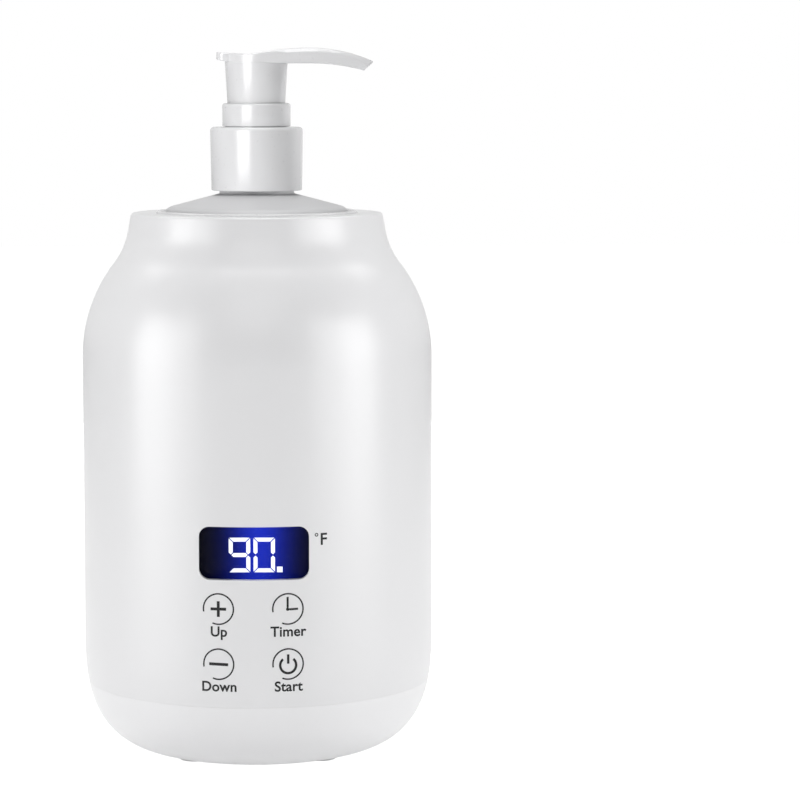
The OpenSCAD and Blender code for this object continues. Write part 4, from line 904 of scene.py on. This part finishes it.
def thread(name, root_r, crest_r, low_z, turns, pitch):
    """A ridge that winds up round the axis, closed at both ends."""
    sink = math.copysign(0.35 * MM, root_r - crest_r)
    section = [(root_r + sink, -0.9 * MM), (crest_r, -0.4 * MM),
               (crest_r, 0.4 * MM), (root_r + sink, 0.9 * MM)]
    ridge = outline_loop(name, [(r, 0, low_z + z) for r, z in section])
    steps = round(64 * turns)
    apply_modifier(ridge, "SCREW", angle=math.tau * turns, screw_offset=pitch * turns,
                   steps=steps, render_steps=steps, use_merge_vertices=False)
    edit(ridge)
    bpy.ops.mesh.select_mode(type="EDGE")
    bpy.ops.mesh.select_non_manifold(extend=False)
    bpy.ops.mesh.edge_face_add()
    bpy.ops.mesh.select_mode(type="VERT")
    return clean(ridge)


class WARMER_OT_bottle(bpy.types.Operator):
    """Build the bottle with its threaded neck"""

    bl_idname = "warmer.bottle"
    bl_label = "Bottle"

    def execute(self, context):
        pump, body = context.scene.warmer_pump, context.scene.warmer_body
        r, foot, mouth_z = BOTTLE_HIGH.x, BOTTLE_LOW.z, BOTTLE_HIGH.z
        wall, heel, edge = pump.bottle_wall, pump.bottle_heel, pump.bottle_edge
        rise = math.degrees(pump.bottle_rise)
        side_z = BODY_TOP - pump.bottle_drop
        neck_z = mouth_z - pump.neck_h
        floor_z = foot + 2 * MM
        outside = (
            [(0, foot)] + arc((r - heel, foot + heel), heel, -90, 0, 12)
            + arc((r - edge, side_z), edge, 0, 90 - rise, 16)
            + arc((pump.neck_r + 0.5 * MM, neck_z + 0.5 * MM), 0.5 * MM, 270 - rise, 180, 4)
            + [(pump.neck_r, neck_z + 1.6 * MM), (pump.root_r, neck_z + 2.2 * MM),
               (pump.root_r, mouth_z - 0.4 * MM), (pump.root_r - 0.4 * MM, mouth_z)])
        inside = (
            [(pump.mouth_r, mouth_z), (pump.mouth_r, neck_z - MM)]
            + arc((r - edge, side_z - 0.6 * wall), edge - wall, 90 - rise, 0, 8)
            + arc((r - heel, floor_z + heel - wall), heel - wall, 0, -90, 8)
            + [(0, floor_z)])
        bottle = turned("bottle_blown", outside + inside, 144)
        turns = 1.5
        low_z = mouth_z - 2.3 * MM - turns * pump.thread_pitch
        ridge = thread("bottle_thread", pump.root_r, pump.crest_r, low_z, turns,
                       pump.thread_pitch)
        combine(bottle, ridge, "UNION")
        finish_piece(bottle, "bottle", bpy.data.materials["bottle_white"],
                     ["bottle"])
        return {"FINISHED"}


class WARMER_OT_collar(bpy.types.Operator):
    """Build the closure collar with its inner thread"""

    bl_idname = "warmer.collar"
    bl_label = "Closure collar"

    def execute(self, context):
        pump = context.scene.warmer_pump
        low_z, top, top_r = COLLAR_LOW.z, COLLAR_HIGH.z, COLLAR_HIGH.x
        edge = pump.collar_edge
        bore_r = pump.crest_r + 0.25 * MM
        roof_z = top - 1.6 * MM
        foot = 0.35 * MM
        outline = (
            [(bore_r, low_z)] + arc((pump.collar_r - foot, low_z + foot), foot, -90, 0, 4)
            + arc((top_r - edge, top - edge), edge, 0, 90, 10)
            + [(pump.collar_hole_r, top), (pump.collar_hole_r, roof_z), (bore_r, roof_z)])
        collar = turned("closure_collar", outline, 144)
        thread_z = BOTTLE_HIGH.z - 2.3 * MM - 2 * pump.thread_pitch
        ridge = thread("collar_thread", bore_r, pump.root_r + 0.25 * MM, thread_z, 1.0,
                       pump.thread_pitch)
        combine(collar, ridge, "UNION")
        finish_piece(collar, "collar", bpy.data.materials["pump_white"],
                     ["collar"])
        return {"FINISHED"}


class WARMER_OT_guide(bpy.types.Operator):
    """Build the guide ring that the pump head slides in"""

    bl_idname = "warmer.guide"
    bl_label = "Guide ring"

    def execute(self, context):
        pump = context.scene.warmer_pump
        low_z, top, out_r = GUIDE_LOW.z, GUIDE_HIGH.z, GUIDE_HIGH.x
        ring_z = COLLAR_HIGH.z + 0.25 * MM
        floor_z = pump.guide_floor_z
        cup_z = floor_z - 0.8 * MM
        edge, lip = 0.8 * MM, 0.25 * MM
        in_r = pump.barrel_top_r + 0.08 * MM
        cup_in, cup_out = pump.barrel_r + 0.3 * MM, pump.barrel_r + 0.85 * MM
        sleeve_r, plug_r = 3.38 * MM, 7.5 * MM
        outline = (
            arc((out_r - 0.2 * MM, ring_z + 0.2 * MM), 0.2 * MM, -90, 0, 3)
            + arc((out_r - edge, top - edge), edge, 0, 90, 8)
            + arc((in_r + lip, top - lip), lip, 90, 180, 3)
            + [(in_r, ring_z + 2 * MM), (cup_in, ring_z), (cup_in, floor_z),
               (sleeve_r, floor_z), (sleeve_r, low_z), (sleeve_r + 1.2 * MM, low_z),
               (sleeve_r + 1.2 * MM, cup_z), (plug_r - 0.8 * MM, cup_z),
               (plug_r - 0.8 * MM, cup_z - 4 * MM), (plug_r, cup_z - 4 * MM), (plug_r, cup_z),
               (cup_out, cup_z), (cup_out, ring_z)])
        ring = turned("guide_ring_moulded", outline, 144)
        finish_piece(ring, "pump", bpy.data.materials["pump_white"],
                     ["guide_ring"])
        return {"FINISHED"}


class HeadLines:
    """Side and plan lines of the pump head, with heights above the barrel's upper end."""

    back_curve, front_curve, under_curve = 92 * MM, 49 * MM, 64 * MM
    saddle_curve, saddle_x = 6 * MM, -1.3 * MM
    rest_slope = 0.07
    side_turn = math.radians(8.6)
    rest_corner = 2.2 * MM

    def __init__(self, pump):
        self.pump = pump
        self.round_r = pump.barrel_top_r + 0.12 * MM
        self.tip_x = HEAD_HIGH.x
        self.rest_x = HEAD_LOW.x

    def top(self, x):
        """Height of the top line at a place along the spout."""
        pump = self.pump
        curve = self.front_curve if x > pump.hump_x else self.back_curve
        away = x - pump.hump_x
        height = pump.hump_h - curve + math.sqrt(curve ** 2 - away ** 2)
        turn = math.asin((pump.hump_x - self.saddle_x) / self.back_curve)
        mid_x = pump.hump_x - (self.back_curve + self.saddle_curve) * math.sin(turn)
        mid_z = (pump.hump_h - self.back_curve
                 + (self.back_curve + self.saddle_curve) * math.cos(turn))
        if x < self.saddle_x:
            low_x = mid_x - self.saddle_curve * self.rest_slope
            if x > low_x:
                height = mid_z - math.sqrt(self.saddle_curve ** 2 - (x - mid_x) ** 2)
            else:
                low_z = mid_z - math.sqrt(self.saddle_curve ** 2 - (low_x - mid_x) ** 2)
                height = low_z + (low_x - x) * self.rest_slope
        return height

    def under(self, x):
        """Height of the underside."""
        if x > self.pump.hump_x:
            away = x - self.pump.hump_x
            return -0.1 * MM - self.under_curve + math.sqrt(self.under_curve ** 2 - away ** 2)
        if x > -7 * MM:
            return -0.1 * MM
        return -0.1 * MM + (-7 * MM - x) * 1.3 / 6.4

    def half_width(self, x):
        """Half of the width in plan."""
        pump, r = self.pump, self.round_r
        meet_x = r * math.sin(self.side_turn)
        if x > meet_x:
            share = (x - meet_x) / (self.tip_x + MM - meet_x)
            return r * math.cos(self.side_turn) * (1 - share) + pump.tip_w / 2 * share
        rest = pump.rest_w / 2
        round_part = math.sqrt(max(r ** 2 - x ** 2, 0))
        corner = x - self.rest_x
        if corner < self.rest_corner:
            rest += math.sqrt(max(self.rest_corner ** 2 - (self.rest_corner - corner) ** 2, 0))
            rest -= self.rest_corner
        return max(round_part, rest)


class WARMER_OT_head(bpy.types.Operator):
    """Build the pump head: a lofted spout and thumb rest on a hollow barrel"""

    bl_idname = "warmer.head"
    bl_label = "Pump head"

    def execute(self, context):
        pump = context.scene.warmer_pump
        lines = HeadLines(pump)
        base_z = HEAD_HIGH.z - pump.hump_h
        spout = self.spout(pump, lines, base_z)
        barrel = self.barrel(pump, base_z)
        head = combine(spout, barrel, "UNION")
        crest = Vector((19 * MM, 0, base_z + 2.1 * MM))
        start = Vector((0, 0, base_z + 0.4 * MM))
        fall = math.radians(10.5)
        outlet = crest + 25 * MM * Vector((math.cos(fall), 0, -math.sin(fall)))
        for low, high, r in ((start - Vector((0, 0, 3 * MM)), start, 1.5 * MM),
                             (start - Vector((0.6 * MM, 0, 0)), crest, 1.2 * MM),
                             (crest - Vector((0.6 * MM, 0, 0)), outlet, 1.2 * MM)):
            combine(head, rod("passage", r, low, high), "DIFFERENCE")
        head.name = "pump_head_moulded"
        finish_piece(head, "head", bpy.data.materials["pump_white"],
                     ["pump_head"], smooth=28)
        return {"FINISHED"}

    def section(self, pump, lines, x, inset, base_z):
        """One ring of places: flat underside, upright sides and a bevelled top edge."""
        lean_from = 20 * MM
        lean = max(x - lean_from, 0) / (lines.tip_x - lean_from)
        low_x = x - pump.tip_slant * lean ** 2
        top = base_z + lines.top(x) - inset
        low = base_z + lines.under(low_x) + inset
        half = lines.half_width(x) - inset
        grow = min(max((x - 4 * MM) / (6 * MM), 0), 1)
        cut = 0.35 * MM + (pump.spout_bevel - 0.35 * MM) * grow * grow * (3 - 2 * grow)
        cut = min(cut, 0.45 * (top - low), 0.45 * half)
        edge = min(0.3 * MM, 0.2 * (top - low))
        blend = 0.35 * cut
        side = [(half - edge, low), (half, low + edge), (half, top - cut - blend),
                (half - 0.3 * blend, top - cut), (half - cut, top - 0.3 * blend),
                (half - cut - blend, top)]
        ring = side + [(-y, z) for y, z in reversed(side)]
        height = top - low
        return [(low_x + (x - low_x) * (z - low) / height, y, z) for y, z in ring]

    def spout(self, pump, lines, base_z):
        """Thumb rest, plate and spout in one skin."""
        edge, steps = 0.4 * MM, 6
        rows = []
        for i in range(steps):
            away = edge * (1 - math.cos(math.pi / 2 * i / steps))
            rows.append((away, edge - math.sqrt(edge ** 2 - (edge - away) ** 2)))
        length = lines.tip_x - lines.rest_x
        count = 110
        sections = [(lines.rest_x + away, inset) for away, inset in rows]
        sections += [(lines.rest_x + edge + (length - 2 * edge) * i / count, 0.0)
                     for i in range(count + 1)]
        sections += [(lines.tip_x - away, inset) for away, inset in reversed(rows)]
        return lofted("spout", [self.section(pump, lines, x, inset, base_z)
                                for x, inset in sections])

    def barrel(self, pump, base_z):
        """Hollow barrel with the socket for the stem inside."""
        low_z = HEAD_LOW.z
        wall, edge = 1.1 * MM, 0.25 * MM
        stem_r, boss_r = 3.35 * MM, 4.9 * MM
        roof_z = base_z - 1.8 * MM
        outline = (
            [(pump.barrel_r - wall, low_z)]
            + arc((pump.barrel_r - edge, low_z + edge), edge, -90, 0, 3)
            + [(pump.barrel_top_r, base_z), (pump.barrel_top_r, base_z + 1.2 * MM),
               (0, base_z + 1.2 * MM), (0, base_z - 2 * MM), (stem_r, base_z - 2 * MM),
               (stem_r, low_z + 4 * MM), (boss_r, low_z + 4 * MM), (boss_r, roof_z),
               (pump.barrel_top_r - wall, roof_z)])
        return turned("barrel", outline, 144)


class WARMER_OT_display(bpy.types.Operator):
    """Build the display window and its lit digits"""

    bl_idname = "warmer.display"
    bl_label = "Display"

    def execute(self, context):
        display, body = context.scene.warmer_display, context.scene.warmer_body
        self.window(display, body)
        self.digits(display)
        return {"FINISHED"}

    def window(self, display, body):
        """A curved clear window that fills the opening, with a hidden lip behind it."""
        middle = (WINDOW_LOW + WINDOW_HIGH) / 2
        lip = 1 * MM
        corner_z = BASE_LOW.z + body.corner_h
        shoulder_z = BODY_TOP - body.shoulder_depth
        lens = None
        for name, out_inset, w, h, corner in (
                ("window_front", 0, display.window_w - 2 * display.window_gap,
                 display.window_h - 2 * display.window_gap,
                 display.window_corner - display.window_gap),
                ("window_lip", body.shell_t, WINDOW_HIGH.x - WINDOW_LOW.x,
                 WINDOW_HIGH.z - WINDOW_LOW.z, display.window_corner + lip)):
            depth = body.shell_t + lip
            upper_r = BODY_R - body.side_draft
            wall = turned(name, [(BODY_R - depth, corner_z), (BODY_R - out_inset, corner_z),
                                 (upper_r - out_inset, shoulder_z),
                                 (upper_r - depth, shoulder_z)], body.turn_steps * 2)
            block = plate("block", [(x, -BODY_R - MM, middle.z + z) for x, z in rounded_rect(
                w, h, corner)], (0, 20 * MM, 0))
            combine(wall, block, "INTERSECT")
            lens = combine(lens, wall, "UNION") if lens else wall
        lens.name = "display_window_clear"
        finish_piece(lens, "warmer", bpy.data.materials["window_tint"],
                     ["display_window"])

    def digits(self, display):
        """Seven-bar digits and their point, as thin lit bars on the panel."""
        half = display.stroke / 2
        gap = 0.21 * MM
        x_step = display.digit_w - display.stroke
        z_step = (display.digit_h - display.stroke) / 2
        middle = (DIGITS_LOW.z + DIGITS_HIGH.z) / 2
        front = DIGITS_HIGH.y
        left = DIGITS_LOW.x + display.digit_w / 2
        lit = {0: "top mid bottom left_up right_up right_down",
               1: "top bottom left_up right_up left_down right_down"}
        bars = []
        for place, names in lit.items():
            x = left + place * display.digit_step
            for key in names.split():
                if key in ("top", "mid", "bottom"):
                    side = {"top": 1, "mid": 0, "bottom": -1}[key]
                    shape = self.level_bar(x_step / 2 - gap, half, side)
                    at = (x, middle + side * z_step)
                else:
                    side = -1 if "left" in key else 1
                    rise = 1 if "up" in key else -1
                    shape = self.upright_bar(z_step / 2 - gap, half, side, rise)
                    at = (x + side * x_step / 2, middle + rise * z_step / 2)
                bars.append(self.bar(shape, at, front))
        dot = display.dot_w / 2
        corners = [(-dot, -dot), (dot, -dot), (dot, dot), (-dot, dot)]
        bars.append(self.bar(corners, (DIGITS_HIGH.x - dot, DIGITS_LOW.z + dot), front))
        digits = join(*bars)
        digits.name = "digit_bars"
        finish_piece(digits, "warmer", bpy.data.materials["digit_white"],
                     ["digit_segments"])

    def level_bar(self, run, half, side):
        """A level bar: mitred outer corners at the top and bottom, pointed in the middle."""
        if side == 0:
            return [(-run, 0), (-run + half, -half), (run - half, -half), (run, 0),
                    (run - half, half), (-run + half, half)]
        return [(-run - half, side * half), (-run + half, -side * half),
                (run - half, -side * half), (run + half, side * half)]

    def upright_bar(self, run, half, side, rise):
        """An upright bar: mitred at its outer end, pointed at the digit's middle."""
        return [(side * half, rise * (run + half)), (-side * half, rise * (run - half)),
                (-side * half, -rise * (run - half)), (0, -rise * run),
                (side * half, -rise * (run - half))]

    def bar(self, shape, at, front):
        """One bar with a small thickness."""
        places = [(at[0] + x, front, at[1] + z) for x, z in shape]
        return plate("digit_bar", places, (0, -0.1 * MM, 0))


def strip(name, first, second):
    """A flat band between two rows of places with equal counts, in the XY plane."""
    deselect_all()
    bpy.ops.mesh.primitive_grid_add(x_subdivisions=len(first) - 1, y_subdivisions=1)
    piece = named(name)
    for corner, place in zip(piece.data.vertices, first + second):
        corner.co = (*place, 0)
    return piece


class WARMER_OT_signs(bpy.types.Operator):
    """Print the degree sign, the signs of the touch keys and their plain legends"""

    bl_idname = "warmer.signs"
    bl_label = "Signs and legends"

    def execute(self, context):
        display, body = context.scene.warmer_display, context.scene.warmer_body
        signs = []
        for side, z, sign, word in (
                (-1, display.key_upper_z, self.plus, "Up"),
                (1, display.key_upper_z, self.clock, "Timer"),
                (-1, display.key_lower_z, self.minus, "Down"),
                (1, display.key_lower_z, self.power, "Start")):
            at = (side * display.key_x - 0.3 * MM, z)
            signs.append(self.arc_band(at, display.key_ring_r, display.ring_line, -113, 191))
            signs += sign(at)
            signs.append(self.word(display, word, (at[0] + 0.1 * MM, z - display.legend_drop)))
        degree = (display.unit_x - 1.95 * MM, display.unit_z + 3.1 * MM)
        signs.append(self.arc_band(degree, 0.42 * MM, 0.28 * MM, 0, 360, 24))
        signs.append(self.word(display, "F", (display.unit_x + 0.3 * MM, display.unit_z), 1.17))
        ink = join(*signs)
        ink.name = "printed_signs"
        self.wrap(ink, body)
        finish_piece(ink, "warmer", bpy.data.materials["sign_ink"])
        return {"FINISHED"}

    def arc_band(self, at, r, line, start, end, steps=72):
        """A part of a ring."""
        return strip("sign", arc(at, r - line / 2, start, end, steps),
                     arc(at, r + line / 2, start, end, steps))

    def stroke(self, at, w, h, turn=0.0):
        """A bar about a middle, turned by an angle in degrees."""
        turn = math.radians(turn)
        along = Vector((math.cos(turn), math.sin(turn))) * w / 2
        up = Vector((-math.sin(turn), math.cos(turn))) * h / 2
        at = Vector(at)
        return strip("sign", [(at - along - up)[:], (at + along - up)[:]],
                     [(at - along + up)[:], (at + along + up)[:]])

    def plus(self, at):
        upper = (at[0], at[1] + 1.42 * MM)
        lower = (at[0], at[1] - 1.42 * MM)
        return [self.stroke(at, 4.8 * MM, 0.88 * MM),
                self.stroke(upper, 0.88 * MM, 1.96 * MM),
                self.stroke(lower, 0.88 * MM, 1.96 * MM)]

    def minus(self, at):
        return [self.stroke(at, 5.9 * MM, 0.88 * MM, -1.5)]

    def clock(self, at):
        x, z = at[0] - 0.1 * MM, at[1] - 0.1 * MM
        return [self.stroke((x, z + 2.15 * MM), 0.64 * MM, 3.3 * MM),
                self.stroke((x + 1.85 * MM, z), 2.7 * MM, 0.64 * MM, 2),
                self.arc_band((x, z), 0.26 * MM, 0.5 * MM, 0, 360, 20)]

    def power(self, at):
        x, z = at[0], at[1] - 0.35 * MM
        return [self.arc_band((x, z), 2.45 * MM, 0.74 * MM, -230, 50),
                self.stroke((x, z + 1.9 * MM), 0.74 * MM, 2.85 * MM)]

    def word(self, display, text, at, scale=1.0):
        """One legend in the plain built-in font, turned into a mesh."""
        deselect_all()
        bpy.ops.object.text_add()
        letters = bpy.context.active_object
        letters.data.body = text
        letters.data.align_x = "CENTER"
        letters.data.space_character = display.legend_spacing
        letters.data.size = display.legend_size * scale
        letters.data.resolution_u = 6
        letters.data.offset = display.legend_weight
        letters.scale = (display.legend_width, 1, 1)
        letters.location = (*at, 0)
        bpy.ops.object.convert(target="MESH")
        return apply_place(named("sign"))

    def wrap(self, ink, body):
        """Cuts the flat signs into narrow columns and bends them round the body."""
        line = BodyOutline(body)
        reach, step = 26 * MM, 0.7 * MM
        edit(ink)
        for i in range(round(2 * reach / step)):
            bpy.ops.mesh.select_all(action="SELECT")
            bpy.ops.mesh.bisect(plane_co=(i * step - reach, 0, 0), plane_no=(1, 0, 0))
        clean(ink, 0.0001 * MM)
        for corner in ink.data.vertices:
            along, z = corner.co.x, corner.co.y
            r = line.radius(z) + 0.02 * MM
            corner.co = (r * math.sin(along / r), -r * math.cos(along / r), z)
        apply_modifier(ink, "SOLIDIFY", thickness=0.03 * MM, offset=0.0)
        clean(ink, 0.0001 * MM)


# Softboxes: where each one stands round the warmer in degrees, from the front to the right, its
# middle's distance from the axis and height, its width and height, its power in watts, the set
# of pieces it lights, and whether it shows as a highlight
LAMPS = {
    "right_side": dict(turn=68, out=0.9, z=0.14, size=(0.45, 0.8), power=3.5, lit="body_set"),
    "left_side": dict(turn=-68, out=0.9, z=0.14, size=(0.45, 0.8), power=3.5, lit="body_set"),
    "right_front": dict(turn=45, out=0.9, z=0.3, size=(0.22, 0.6), power=0.8, lit="body_set"),
    "left_front": dict(turn=-45, out=0.9, z=0.3, size=(0.22, 0.6), power=0.8, lit="body_set"),
    "front_fill": dict(turn=0, out=0.7, z=0.7, size=(0.5, 0.5), power=2.4, lit="body_set",
                       glint=False),
    "top_light": dict(turn=0, out=0.0, z=1.0, size=(0.6, 0.6), power=2.2, lit="body_set"),
    "back_light": dict(turn=180, out=0.9, z=0.252, size=(0.5, 0.6), power=2.2, lit="body_set",
                       glint=False),
    "right_high": dict(turn=122, out=0.7, z=1.0, size=(0.5, 0.5), power=1.5, lit="body_set"),
    "left_high": dict(turn=-122, out=0.7, z=1.0, size=(0.5, 0.5), power=1.5, lit="body_set"),
    "pump_key": dict(turn=-31, out=0.9, z=0.36, size=(0.55, 0.7), power=6.5, lit="pump_set"),
    "pump_fill": dict(turn=10, out=0.8, z=0.55, size=(0.4, 0.4), power=0.7, lit="pump_set",
                      glint=False),
    "pump_side": dict(turn=125, out=0.9, z=0.3, size=(0.6, 0.6), power=7.0, lit="pump_set",
                      glint=False),
    "pump_top": dict(turn=0, out=0.0, z=1.0, size=(0.6, 0.6), power=3.4, lit="pump_set"),
    "bottle_high": dict(turn=0, out=0.6, z=0.8, size=(0.5, 0.5), power=4.2, lit="bottle_set"),
    "bottle_top": dict(turn=0, out=0.0, z=1.0, size=(0.6, 0.6), power=2.8, lit="bottle_set"),
    "bottle_right": dict(turn=75, out=0.9, z=0.06, size=(0.6, 0.1), power=3.0, lit="bottle_set",
                         glint=False),
    "bottle_left": dict(turn=-75, out=0.9, z=0.06, size=(0.6, 0.1), power=3.0, lit="bottle_set",
                        glint=False),
    "bottle_back": dict(turn=180, out=0.9, z=0.06, size=(0.6, 0.1), power=2.0, lit="bottle_set",
                        glint=False),
}


class WARMER_OT_stage(bpy.types.Operator):
    """Set up the camera, the lamps, the white surroundings and the floor"""

    bl_idname = "warmer.stage"
    bl_label = "Stage"

    def execute(self, context):
        stage = context.scene.warmer_stage
        scene = context.scene
        self.camera(scene, stage)
        self.surroundings(scene, stage)
        self.floor(stage)
        sets = self.lit_sets(scene)
        for name, lamp in LAMPS.items():
            self.lamp(name, sets, **lamp)
        scene.view_settings.view_transform = "Standard"
        return {"FINISHED"}

    def camera(self, scene, stage):
        """A long lens, a little above the middle of the warmer."""
        bpy.ops.object.camera_add(
            location=(stage.distance * math.sin(stage.side_turn),
                      -stage.distance * math.cos(stage.side_turn), stage.height),
            rotation=(math.radians(90) - stage.look_down, 0,
                      stage.side_turn - stage.look_right))
        camera = bpy.context.active_object
        camera.name = "photo_camera"
        camera.data.sensor_width = 36
        camera.data.lens = stage.lens / MM
        scene.camera = camera

    def shown(self, tree, glint):
        """1 where the camera sees a surface, and a given part of that in gloss and in glass."""
        path = tree.node("LightPath").outputs
        seen = tree.math("MAXIMUM", path["Is Glossy Ray"], path["Is Transmission Ray"])
        return tree.math("MAXIMUM", tree.math("MULTIPLY", seen, glint), path["Is Camera Ray"])

    def surroundings(self, scene, stage):
        """Soft light from all round, with a plain white backdrop."""
        world = bpy.data.worlds.new("white_room")
        scene.world = world
        world.use_nodes = True
        tree = Tree(world.node_tree)
        shader = world.node_tree.nodes["Background"]
        way = tree.node("TexCoord").outputs["Generated"]
        across = tree.node("SeparateXYZ", Vector=way).outputs["Y"]
        aside = tree.node("MapRange", Value=across)
        tree.set(aside.inputs["From Min"], -0.7)
        tree.set(aside.inputs["From Max"], 0.1)
        tree.set(aside.inputs["To Max"], 0.75)
        strength = tree.node("MapRange", Value=self.shown(tree, aside.outputs["Result"]))
        tree.set(strength.inputs["To Min"], stage.room_light)
        tree.set(strength.inputs["To Max"], 1.0)
        tree.set(shader.inputs["Color"], (1.0, 1.0, 1.0, 1.0))
        tree.set(shader.inputs["Strength"], strength.outputs["Result"])

    def floor(self, stage):
        """A white floor, its glow a little weaker near the warmer: a faint painted shade round its
        foot.
        """
        deselect_all()
        bpy.ops.mesh.primitive_plane_add(size=6.0, location=(0, 0, 0))
        floor = named("floor")
        edit(floor)
        bpy.ops.mesh.select_all(action="SELECT")
        bpy.ops.mesh.subdivide(number_cuts=3)
        bpy.ops.object.mode_set(mode="OBJECT")
        made, tree, shader = blank_material("floor_white")
        place = tree.node("TexCoord").outputs["Object"]
        grain = tree.node("TexNoise", Vector=place, Scale=40.0).outputs["Fac"]
        rough = tree.math("ADD", tree.math("MULTIPLY", grain, 0.05), 0.8)
        tree.set(shader.inputs["Base Color"], (0.8, 0.8, 0.8, 1.0))
        tree.set(shader.inputs["Roughness"], rough)
        tree.set(shader.inputs["Emission Color"], (1.0, 1.0, 1.0, 1.0))
        away = tree.node("VectorMath", "LENGTH", in0=place).outputs["Value"]
        # Painted shade: the floor's glow drops to 0.92 near the warmer, so the floor is a little
        # darker round its foot.
        glow = tree.node("MapRange", Value=away)
        for name, value in (("From Min", 0.2), ("From Max", 0.9), ("To Min", 0.92)):
            tree.set(glow.inputs[name], value)
        tree.set(shader.inputs["Emission Strength"],
                 tree.math("MULTIPLY", self.shown(tree, 0.45), glow.outputs["Result"]))
        floor.data.materials.append(made)

    def lit_sets(self, scene):
        """Sets of pieces with their own lamps: body and floor, bottle, pump; all that shade."""
        names = {None: "body_set", frame["bodies"]["warmer"]: "body_set",
                 frame["bodies"]["bottle"]: "bottle_set"}
        sets = {name: bpy.data.collections.new(name)
                for name in ("body_set", "bottle_set", "pump_set", "shade_set")}
        for piece in scene.objects:
            if piece.type == "MESH":
                sets[names.get(piece.parent, "pump_set")].objects.link(piece)
                if piece.parent:
                    sets["shade_set"].objects.link(piece)
        return sets

    def lamp(self, name, sets, turn, out, z, size, power, lit, glint=True):
        """A softbox that faces the middle of the warmer and lights one set of pieces."""
        turn = math.radians(turn)
        at = (out * math.sin(turn), -out * math.cos(turn), z)
        bpy.ops.object.light_add(type="AREA", location=at)
        lamp = bpy.context.active_object
        lamp.name = name
        lamp.data.shape = "RECTANGLE"
        lamp.data.size, lamp.data.size_y = size
        lamp.data.energy = power
        aim = Vector((0, 0, 0.12)) - Vector(at)
        lamp.rotation_euler = aim.to_track_quat("-Z", "Y").to_euler()
        lamp.light_linking.receiver_collection = sets[lit]
        lamp.light_linking.blocker_collection = sets["shade_set"]
        lamp.visible_camera = False
        lamp.visible_glossy = glint


class WARMER_PT_build(bpy.types.Panel):
    """Builds the warmer's visible pieces and its stage"""

    bl_idname = "WARMER_PT_build"
    bl_label = "Massage oil warmer"
    bl_space_type = "VIEW_3D"
    bl_region_type = "UI"
    bl_category = "Warmer"

    def draw(self, context):
        for operator in OPERATORS:
            self.layout.operator(operator.bl_idname)


GROUPS = {
    "warmer_body": WarmerBodyShape,
    "warmer_display": WarmerDisplayLook,
    "warmer_pump": WarmerPumpShape,
    "warmer_stage": WarmerStage,
}
OPERATORS = (
    WARMER_OT_finishes, WARMER_OT_shell, WARMER_OT_base, WARMER_OT_socket, WARMER_OT_trim,
    WARMER_OT_bottle, WARMER_OT_collar, WARMER_OT_guide, WARMER_OT_head, WARMER_OT_display,
    WARMER_OT_signs, WARMER_OT_stage)
CLASSES = (*GROUPS.values(), *OPERATORS, WARMER_PT_build)


def register():
    for kind in CLASSES:
        bpy.utils.register_class(kind)
    for name, kind in GROUPS.items():
        setattr(bpy.types.Scene, name, PointerProperty(type=kind))


def unregister():
    for name in GROUPS:
        delattr(bpy.types.Scene, name)
    for kind in reversed(CLASSES):
        bpy.utils.unregister_class(kind)


def visual_box():
    """Lowest and highest corner of all shown pieces."""
    places = []
    for piece in bpy.context.scene.objects:
        if piece.type == "MESH" and not piece.hide_render and piece.name != "floor":
            places += [piece.matrix_world @ corner.co for corner in piece.data.vertices]
    return [[min(p[i] for p in places) for i in range(3)],
            [max(p[i] for p in places) for i in range(3)]]


def main():
    register()
    for operator in OPERATORS:
        group, name = operator.bl_idname.split(".")
        if getattr(getattr(bpy.ops, group), name)() != {"FINISHED"}:
            raise RuntimeError(f"{operator.bl_label} didn't finish")
    deselect_all()
    {"cad": cad_box, "visual": visual_box()}


if __name__ == "__main__":
    main()
